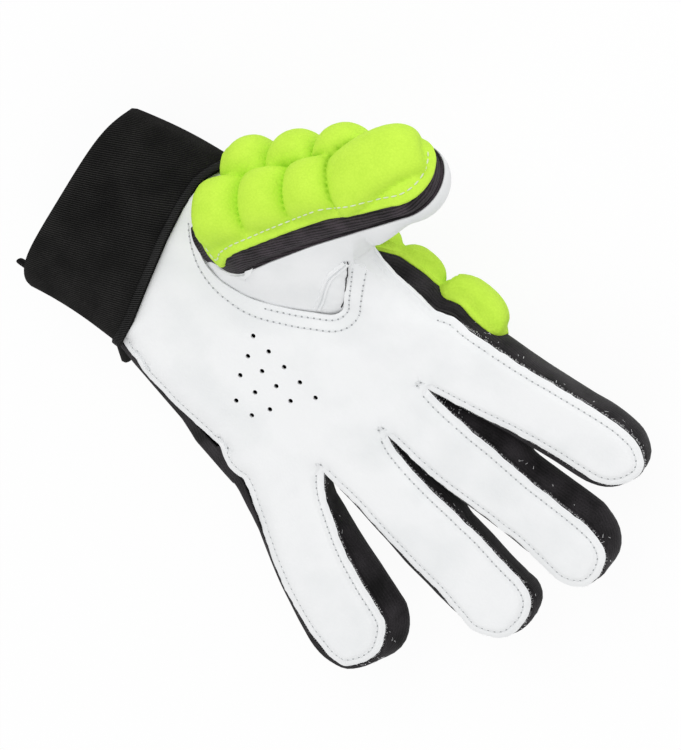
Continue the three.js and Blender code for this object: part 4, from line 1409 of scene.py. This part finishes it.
def pad_mesh(outline, cells, base, step=1.0):
    """A padded cover sewn to a curved base: a closed form with a thin flange and puffed cells."""
    bm = sheet(outline, [], step, PAD_ROWS)
    pattern = spots(bm)[:, :2]
    lift, crease_shade = cell_lift(pattern, cells)
    # The crease value goes to the jersey's colour as painted shade.
    noted(bm, "tone", crease_shade)
    lift -= (FLANGE_LIFT - FLANGE_EDGE) * fade(gaps(tree(outline), pattern) / 0.8) ** 2
    top, under = stood_off(base, pattern, lift), stood_off(base, pattern, UNDER_LIFT)
    raised = bmesh.ops.extrude_face_region(bm, geom=bm.faces[:])["geom"]
    where = {tuple(np.round(p, 5)): k for k, p in enumerate(pattern)}
    uppers = {v for v in raised if isinstance(v, bmesh.types.BMVert)}
    for vert in bm.verts:
        k = where[tuple(np.round((vert.co.x, vert.co.y), 5))]
        vert.co = top[k] if vert in uppers else under[k]
    bmesh.ops.recalc_face_normals(bm, faces=bm.faces)
    return bm


# How much of the thumb's knit shows beside its pad, and on the far side.
THUMB_STRIP_ALONG = [-46, -38, -28, -20, 0, 13, 25, 38]
THUMB_STRIP_WIDTH = [13, 12.4, 10.6, 9.8, 9.6, 10, 8.6, 8]
FAR_STRIP, CORNER_POWER = 2.0, 2.6
# The pad's two root corners: where each starts along the thumb, and its rounding.
NEAR_CORNER, FAR_CORNER = (-44.0, 5.5), (-35.0, 8.0)
# Along, round, half along, half round towards the far side and the flange, rise and turn of the
# thumb's cells.
THUMB_CELLS = [
    (-30, -1.6, 10.2, 9.8, 14, 10.4, 0), (-10.9, -1.2, 9.6, 9, 13, 10, 0),
    (8.2, -1, 10.2, 8.6, 12, 9.4, 0), (-22, 14.9, 9.6, 7.6, 7.6, 11.4, 0),
    (-2.8, 14.2, 10, 7.2, 7.2, 10.6, 0), (16.6, 13.2, 9.8, 6.8, 6.8, 9.6, 0),
    (32.4, 1.5, 17.6, 11, 11.4, 9, 20)]
PAD_SEAM_INSET, PAD_PITCH, PAD_THREAD = 3.4, 3.0, 0.3


def thumb_pad_line(skin, inset):
    """A line of the thumb pad's flat pattern at a distance inside its edge."""
    count = len(skin.rows)

    def side(first, rounding):
        """Places along one side, its rows of the skin, and how far its corner is rounded off."""
        u = np.arange(first + inset, skin.turn, 0.8)
        rows = np.clip(np.rint((u - skin.start) / skin.step).astype(int), 0, skin.count - 1)
        off = np.clip((first + rounding - u) / (rounding - inset), 0.0, 1.0)
        return u, rows, (1 - off ** CORNER_POWER) ** (1 / CORNER_POWER)

    near, rows, corner = side(*NEAR_CORNER)
    width = np.interp(near, THUMB_STRIP_ALONG, THUMB_STRIP_WIDTH)
    left = (skin.reach[rows, -1] - width - inset) * corner
    away, rows, corner = side(*FAR_CORNER)
    start = 2.5
    right = start + (skin.reach[count - 1 - rows, -1] - FAR_STRIP - inset - start) * corner
    bend = np.linspace(-math.pi / 2, math.pi / 2, 40)[1:-1]
    at = np.rint(skin.count - 0.5 + (bend / math.pi + 0.5) * skin.arc).astype(int)
    strip = np.interp(bend, [-math.pi / 2, math.pi / 2], [THUMB_STRIP_WIDTH[-1], FAR_STRIP])
    far = skin.reach[np.clip(at, 0, count - 1), -1] - strip - inset
    tip = np.column_stack([skin.turn + far * np.cos(bend), far * np.sin(bend)])
    return np.vstack([np.column_stack([near, -left]), tip, np.column_stack([away, right])[::-1]])


class GLOVE_OT_thumb_pad(bpy.types.Operator):
    """Sew the padded cover to the back of the thumb"""

    bl_idname = "glove.thumb_pad"
    bl_label = "Thumb Pad"

    def execute(self, context):
        colours = context.scene.glove_colours
        digit, jersey = DIGITS["thumb"], neon_jersey(colours.pad, colours.pad_crease_shade)
        skin = thumb_skin()
        outline = closed(thumb_pad_line(skin, 0.0), 1.2)
        root, tip = split(pad_mesh(outline, THUMB_CELLS, skin.on_back), digit)
        bend_root(piece(filled(root), "thumb_pad_root", jersey,
                                  ["thumb_root_pad_cover", "thumb_root_pad_foam",
                                   "thumb_base_pad_cover", "thumb_base_pad_foam"]), digit)
        bend_tip(piece(filled(tip), "thumb_pad_tip", jersey,
                                 ["thumb_tip_pad_cover", "thumb_tip_pad_foam"]), digit)

        yarn = sewing_thread("pad_thread", colours.pad_thread)
        line = even(thumb_pad_line(skin, PAD_SEAM_INSET), 0.8)
        line = line[((line[:, 1] < -6.0) | (line[:, 0] > 40.0)) & (line[:, 1] < 6.0)]
        lift = cell_lift(line, THUMB_CELLS)[0] + 0.15
        points = stood_off(skin.on_back, line, lift)
        normals = stood_off(skin.on_back, line, lift + 1.0) - points
        at_root = digit.measured(points)[0] < split_at(digit)
        for end, held in (("root", at_root), ("tip", ~at_root)):
            for made in add_stitches("thumb_pad_" + end + "_seam", [(points[held], normals[held])],
                                     PAD_PITCH, PAD_THREAD, yarn):
                BENDS[end](made, digit)
        return {"FINISHED"}


# The columns of cells on the back of the hand: turn, width and shift of each.
HAND_CELL_TURNS = (0, 0, -8, -18)
HAND_CELL_WIDTHS = (32, 24, 22, 22)
HAND_CELL_SHIFTS = (-6.3, 0, 1, 1.5)
# From the knuckles back: the two rows of cells, and the pad's two ends.
HAND_CELL_ROWS = (25, 44.5)
HAND_PAD_ENDS, HAND_PAD_MARGIN, HAND_CELL_HALF = (13.5, 57.0), 1.5, 9.8


def hand_columns():
    """The columns of cells on the back of the hand: root point, two directions, half width
    and turn."""
    for name, turn, width, shift in zip(FINGERS, HAND_CELL_TURNS, HAND_CELL_WIDTHS,
                                        HAND_CELL_SHIFTS):
        cos, sin = math.cos(math.radians(turn)), math.sin(math.radians(turn))
        ahead, aside = np.array([-sin, cos]), np.array([cos, sin])
        yield DIGITS[name].origin[:2] + aside * shift, ahead, aside, width / 2, turn


class GLOVE_OT_hand_pad(bpy.types.Operator):
    """Sew the padded cover to the back of the hand"""

    bl_idname = "glove.hand_pad"
    bl_label = "Hand Pad"

    def execute(self, context):
        jersey, skin = bpy.data.materials["neon_stretch_jersey"], hand_skin()
        along = np.arange(-2, 100)
        centre = np.interp(along, *skin.centres[:skin.count].T)

        def pattern(points):
            x, y = np.asarray(points, float).T
            return np.column_stack([y, x - np.interp(y, along, centre)])

        def on_knit(u, s):
            share = back_share(skin.on_back(u, s)[None])[0]
            stretched = (u - HAND_KNIT_START) / share + HAND_KNIT_START
            spot = skin.on_back(min(stretched, skin.turn - 0.1), s)
            spot[1] = u
            return spot

        ends, cells = ([], []), []
        for root, ahead, aside, half, turn in hand_columns():
            for line, back in zip(ends, HAND_PAD_ENDS):
                line += [root - ahead * back + aside * side * (half + HAND_PAD_MARGIN)
                         for side in (-1, 1)]
            for back in HAND_CELL_ROWS:
                u, s = pattern([root - ahead * back])[0]
                cells.append((u, s, HAND_CELL_HALF, half, half, 5.0 + 0.28 * half, -turn))
        # Neighbouring columns share one corner between them.
        far, near = [line[:1] + [(a + b) / 2 for a, b in zip(line[1:-1:2], line[2:-1:2])]
                     + line[-1:] for line in ends]
        outline = closed(pattern(far + near[::-1]), 1.4)
        for _ in range(8):
            outline = (np.roll(outline, 1, axis=0) + 2 * outline + np.roll(outline, -1, axis=0)) / 4
        bm = pad_mesh(outline, cells, on_knit, 1.5)
        made = piece(bm, "hand_pad", jersey,
                               ["hand_pad_cover", "hand_pad_foam"])
        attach(made, "hand")
        return {"FINISHED"}


# Along, round, half along, half round and rise of each finger's one cell.
FINGER_CELLS = {
    "index": (0.3, -6.9, 13.4, 16.6, 9.8), "middle": (-0.5, 0, 12.2, 11.6, 9.5),
    "ring": (-0.5, 0, 12.2, 11.6, 9.5), "little": (-0.5, 1, 11.8, 11.6, 9.5)}
FINGER_PAD_MARGIN, FINGER_PAD_BOXY = 1.6, 0.4


class GLOVE_OT_finger_pads(bpy.types.Operator):
    """Sew a padded cell to the back of each finger's root"""

    bl_idname = "glove.finger_pads"
    bl_label = "Finger Pads"

    def execute(self, context):
        jersey, turn = bpy.data.materials["neon_stretch_jersey"], turns(90)
        ring = boxy(np.column_stack([np.cos(turn), np.sin(turn)]), FINGER_PAD_BOXY)
        for name in FINGERS:
            skin, (u, s, half_u, half_s, rise) = finger_skin(name), FINGER_CELLS[name]
            reach = np.array([half_u, half_s]) + FINGER_PAD_MARGIN
            outline = closed(np.array([u, s]) + ring * reach, 1.3)
            bm = pad_mesh(outline, [(u, s, half_u, half_s, half_s, rise, 0.0)], skin.on_back)
            made = piece(bm, name + "_pad", jersey,
                                   [name + "_knuckle_pad_cover", name + "_knuckle_pad_foam"])
            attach(made, name + "_base")
        return {"FINISHED"}


# The cuff

CUFF_END, CUFF_MIDDLE, CUFF_HALF_DEEP, RIB_PITCH = -41.4, 23, 14.5, 0.9
CUFF_SPOT = np.array([6.0, 0.0, CUFF_MIDDLE])
CUFF_ROWS, CUFF_THICK, RIB_HIGH, HEM_DEEP, TUBE_WELD = 26, 1.2, 0.2, 0.5, 0.005
# The wrist tape: how far its rows stand out, and their painted light, lighter where they
# stand out and painted shade where they sink.
TAPE_OUT = [0.2, 0.8, 1.05, 1.0, 0.75, 1.0, 1.05, 0.8, -0.2]
TAPE_PAINTED_LIGHT = [-1.0, -0.4, 0.0, -0.4, -1.0, -0.4, 0.0, -0.4, -1.0]
TAPE_SHARES, TAPE_COUNT, TAPE_THICK = (0.93, 1.02), 300, 0.8
OVERLOCK_SHARES, OVERLOCK_COUNT, OVERLOCK_THREAD = (0.935, 1.012), 230, 0.3
PULL_TAB = [(44.8, -37.0, 25.2), (45.0, -42.0, 24.6), (45.4, -46.2, 24.0)]
# The loose flap where the side seam ends at the wrist: its outer edge and its edge beside the palm.
SEAM_TAIL = [(45, -2.6, 25.4), (54.4, 6.8, 22.6), (44.6, 3, 26.4), (48.8, 10, 24.6)]


def cuff_ring(share, out):
    """One ring of the cuff from its bowed, flared mouth at share 0 to the wrist at share 1."""
    half, centre = 38.0 + 3.0 * share, 9.0 - 5.0 * share
    turn = np.linspace(0.0, 2 * math.pi, 721)
    aside = np.cos(turn)
    # Flared at the mouth on the outer side, where the wrist end is boxy under the palm's corner.
    wide = np.where(aside > 0, 3.2 * fade(share / 0.75) ** 2, 1.3 * math.sin(math.pi * share))
    power = np.where(aside > 0, 0.8 - 0.32 * share, 0.8)
    aside, high = boxy(aside, power), boxy(np.sin(turn), power)
    x, z = centre + (half + wide + out) * aside, CUFF_MIDDLE + (CUFF_HALF_DEEP + out) * high
    wrist = np.array(WRIST_EDGE)[::-1]
    end = np.interp(x, wrist[:, 0], wrist[:, 1]) * ease((z - 22.0) / 12.0) + 0.3
    mouth = CUFF_END - 2.0 + aside + 2.6 * np.abs(aside) ** 6 + 2.8 * np.clip(aside, 0.0, 1.0) ** 6
    return np.column_stack([x, mouth + (end - mouth) * share, z])


def cuff_rows(shares, outs, count):
    """Rings of the cuff with points at even lengths round, which lean over to the thumb
    towards the wrist."""
    rows = []
    for share, out in zip(shares, outs):
        ring = cuff_ring(share, out)
        reach = lengths(ring)
        at = (np.arange(count) / count * reach[-1] + 7.4 * share + 7.6 * share ** 2) % reach[-1]
        rows.append(np.column_stack([np.interp(at, reach, axis) for axis in ring.T]))
    return np.array(rows)


def tube(rows, values):
    """A closed band of quads through rings of points, with a value at each point."""
    joined = [np.concatenate([ring, ring[:, :1]], axis=1) for ring in (rows, values)]
    return welded(grid(*joined), TUBE_WELD, rows.reshape(-1, 3).mean(0))


def band(line, half_wide, half_thick, across):
    """A flat tape round a line of points, with its width along one direction and rounded ends."""
    line = even(curve(line, 0.3), 0.4)
    ahead, across = unit(np.gradient(line, axis=0)), np.array(across)
    wide = unit(across - (ahead @ across)[:, None] * ahead)
    thick = np.cross(ahead, wide)
    taper = (1.0 - np.abs(np.linspace(-1.0, 1.0, len(line))) ** 8) ** 0.5 + 0.02
    turn = turns(16)
    rows = line[:, None] + taper[:, None, None] * (
        wide[:, None] * (np.cos(turn)[:, None] * half_wide)
        + thick[:, None] * (np.sin(turn)[:, None] * half_thick))
    bm = filled(tube(rows, np.tile(np.sin(turn * 4), (len(rows), 1))))
    bmesh.ops.recalc_face_normals(bm, faces=bm.faces)
    return bm


def ribbed_band():
    """The cuff's tube with its ribs and its hem."""
    ribs = round(lengths(cuff_ring(0.5, 0.0))[-1] / RIB_PITCH)
    shares = np.linspace(0.0, 1.0, CUFF_ROWS)
    rows = cuff_rows(shares, np.zeros(CUFF_ROWS), ribs * 4)
    wave = np.tile([1.0, 0.0, -1.0, 0.0], (CUFF_ROWS, ribs))
    out = unit((rows - CUFF_SPOT) * (1.0, 0.0, 1.0))
    hem = fade(shares / 0.05)[:, None]
    lift = RIB_HIGH * wave * (1 - 0.7 * hem) - HEM_DEEP * hem ** 2
    # The rib wave also goes to the colour: painted highlight on each crest, painted shade in each
    # gap.
    return thicken(tube(rows + out * lift[:, :, None], wave), CUFF_THICK)


def overlock_places():
    """Places of the slanted stitches over the wrist tape."""
    low, high = cuff_rows(OVERLOCK_SHARES, [0.85, 0.85], OVERLOCK_COUNT)
    places = []
    for foot, head in zip(low, np.roll(high, -1, axis=0)):
        middle, ahead = (foot + head) / 2, head - foot
        up = unit((middle - CUFF_SPOT) * (1.0, 0.0, 1.0) / (41.0, 1.0, 15.0))
        aside = np.cross(up, unit(ahead))
        places.append((middle + up * 0.2, np.array([aside * OVERLOCK_THREAD, up * OVERLOCK_THREAD,
                                                    ahead * 0.5])))
    return places


def tail_flap():
    """The seam's loose tail, bowed across and rounded at its end."""
    flap, share = between(SEAM_TAIL[:2], SEAM_TAIL[2:], 16, 12)
    flap[:, :, 2] += 1.2 * np.sin(share * math.pi) * np.linspace(0.3, 1.0, 16)[:, None]
    flap[-1] -= (flap[-1] - flap[-2]) * np.abs(np.cos(share * math.pi))[:, None] ** 3
    tail = grid(flap)
    facing(tail, lambda spot: UP)
    return thicken(tail, CUFF_THICK)


class GLOVE_OT_cuff(bpy.types.Operator):
    """Weave the ribbed elastic cuff, its binding, tab and seam tail"""

    bl_idname = "glove.cuff"
    bl_label = "Cuff"

    def execute(self, context):
        colours = context.scene.glove_colours
        elastic = ribbed_elastic(colours.elastic, colours.elastic_rib_highlight)
        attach(piece(ribbed_band(), "ribbed_cuff", elastic, ["cuff_elastic"],
                      sharp=70.0), "hand")
        rows = cuff_rows(np.linspace(*TAPE_SHARES, len(TAPE_OUT)), TAPE_OUT, TAPE_COUNT)
        # The tape's rows carry painted light: lighter where they stand out, painted shade where
        # they sink.
        tape = tube(rows, np.tile(np.array(TAPE_PAINTED_LIGHT)[:, None], (1, TAPE_COUNT)))
        thicken(tape, TAPE_THICK)
        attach(piece(tape, "wrist_tape", elastic, ["wrist_binding"]), "hand")
        yarn = sewing_thread("black_thread", colours.elastic)
        overlock = copies(thread_bead(), overlock_places())
        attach(piece(overlock, "wrist_overlock", yarn), "hand")
        tab = band(PULL_TAB, 2.3, 0.8, (0.0, 0.3, 1.0))
        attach(piece(tab, "pull_tab_loop", elastic, ["cuff_pull_tab"]), "hand")
        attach(piece(tail_flap(), "seam_tail", elastic, ["side_seam_tail"]), "hand")
        return {"FINISHED"}


# The stage

WHITE = (1.0, 1.0, 1.0, 1.0)
FLOOR_HALF, FLOOR_GLOW, SKY_STRENGTH = 4.0, 0.94, 0.62
# Lamps: name, place in metres, size and power.
LAMPS = (("key", (-0.55, -0.5, 0.9), 0.8, 4.7), ("fill", (0.7, 0.4, 0.8), 1.0, 2.9),
         ("side", (-0.8, 0.3, 0.14), 0.6, 1.3))
# The camera's right, up and back directions, and the point of the hand that it sees from 1 m.
CAMERA_RIGHT, CAMERA_UP = (-0.52957, 0.79735, -0.28947), (-0.72621, -0.60251, -0.33105)
CAMERA_BACK, CAMERA_TARGET = (-0.43837, 0.0349, 0.89812), (-1.83, 74.31, 36.0)
CAMERA_LENS, CAMERA_SENSOR = 136.4, 36.0


def white_paper():
    """Matt white paper, lit from within for the camera, so that it keeps only a faint shadow."""
    paper, t, shader = material("white_paper")
    feed(shader, {"Base Color": colour("#F4F4F4"), "Roughness": 0.9})
    path = node(t, "LightPath").outputs
    seen = maths(t, "MAXIMUM", path["Is Camera Ray"], path["Is Glossy Ray"])
    seen = maths(t, "MAXIMUM", seen, path["Is Transmission Ray"])
    share = maths(t, "MULTIPLY", seen, FLOOR_GLOW)
    glow = node(t, "Emission", {"Color": WHITE, "Strength": 1.0})
    both = node(t, "MixShader", {0: share, 1: shader.outputs[0], 2: glow.outputs[0]})
    feed(t.nodes["Material Output"], {"Surface": both.outputs[0]})
    return paper


class GLOVE_OT_stage(bpy.types.Operator):
    """Set the floor, the lamps and the camera"""

    bl_idname = "glove.stage"
    bl_label = "Stage"

    def execute(self, context):
        scene = context.scene
        bm = bmesh.new()
        bmesh.ops.create_grid(bm, x_segments=1, y_segments=1, size=FLOOR_HALF)
        mesh = bpy.data.meshes.new("floor")
        bm.to_mesh(mesh)
        bm.free()
        mesh.materials.append(white_paper())
        floor = bpy.data.objects.new("floor", mesh)
        scene.collection.objects.link(floor)

        scene.world = bpy.data.worlds.new("studio")
        scene.world.use_nodes = True
        feed(scene.world.node_tree.nodes["Background"], {"Color": WHITE, "Strength": SKY_STRENGTH})
        for name, spot, size, power in LAMPS:
            lamp = bpy.data.lights.new(name, "AREA")
            lamp.size, lamp.energy = size, power
            holder = bpy.data.objects.new(name, lamp)
            holder.location = spot
            holder.rotation_euler = (-Vector(spot)).to_track_quat("-Z", "Y").to_euler()
            scene.collection.objects.link(holder)

        camera = bpy.data.objects.new("camera", bpy.data.cameras.new("camera"))
        scene.collection.objects.link(camera)
        spot = Vector(metres([CAMERA_TARGET])[0]) + Vector(CAMERA_BACK)
        camera.matrix_world = Matrix([*zip(CAMERA_RIGHT, CAMERA_UP, CAMERA_BACK, spot),
                                      (0, 0, 0, 1)])
        camera.data.lens, camera.data.sensor_width = CAMERA_LENS, CAMERA_SENSOR
        scene.camera = camera
        scene.view_settings.view_transform = "Standard"
        return {"FINISHED"}


class GLOVE_PT_panel(bpy.types.Panel):
    """The glove's pieces in the sidebar"""

    bl_idname = "GLOVE_PT_panel"
    bl_label = "Glove"
    bl_space_type = "VIEW_3D"
    bl_region_type = "UI"
    bl_category = "Glove"

    def draw(self, context):
        for maker in MAKERS:
            self.layout.operator(maker.bl_idname)
        for group in (context.scene.glove_sizes, context.scene.glove_colours):
            for key in group.__annotations__:
                self.layout.prop(group, key)


MAKERS = (GLOVE_OT_stage, GLOVE_OT_front, GLOVE_OT_front_stitches, GLOVE_OT_finger_knits,
          GLOVE_OT_hand_knit, GLOVE_OT_thumb_leather, GLOVE_OT_thumb_knit, GLOVE_OT_thumb_pad,
          GLOVE_OT_hand_pad, GLOVE_OT_finger_pads, GLOVE_OT_cuff, GLOVE_OT_lint)
CLASSES = (GloveSizes, GloveColours) + MAKERS + (GLOVE_PT_panel,)


def register():
    for kind in CLASSES:
        bpy.utils.register_class(kind)
    bpy.types.Scene.glove_sizes = bpy.props.PointerProperty(type=GloveSizes)
    bpy.types.Scene.glove_colours = bpy.props.PointerProperty(type=GloveColours)


def unregister():
    del bpy.types.Scene.glove_colours
    del bpy.types.Scene.glove_sizes
    for kind in reversed(CLASSES):
        bpy.utils.unregister_class(kind)


def main():
    register()
    for maker in MAKERS:
        group, call = maker.bl_idname.split(".")
        getattr(getattr(bpy.ops, group), call)()


if __name__ == "__main__":
    main()
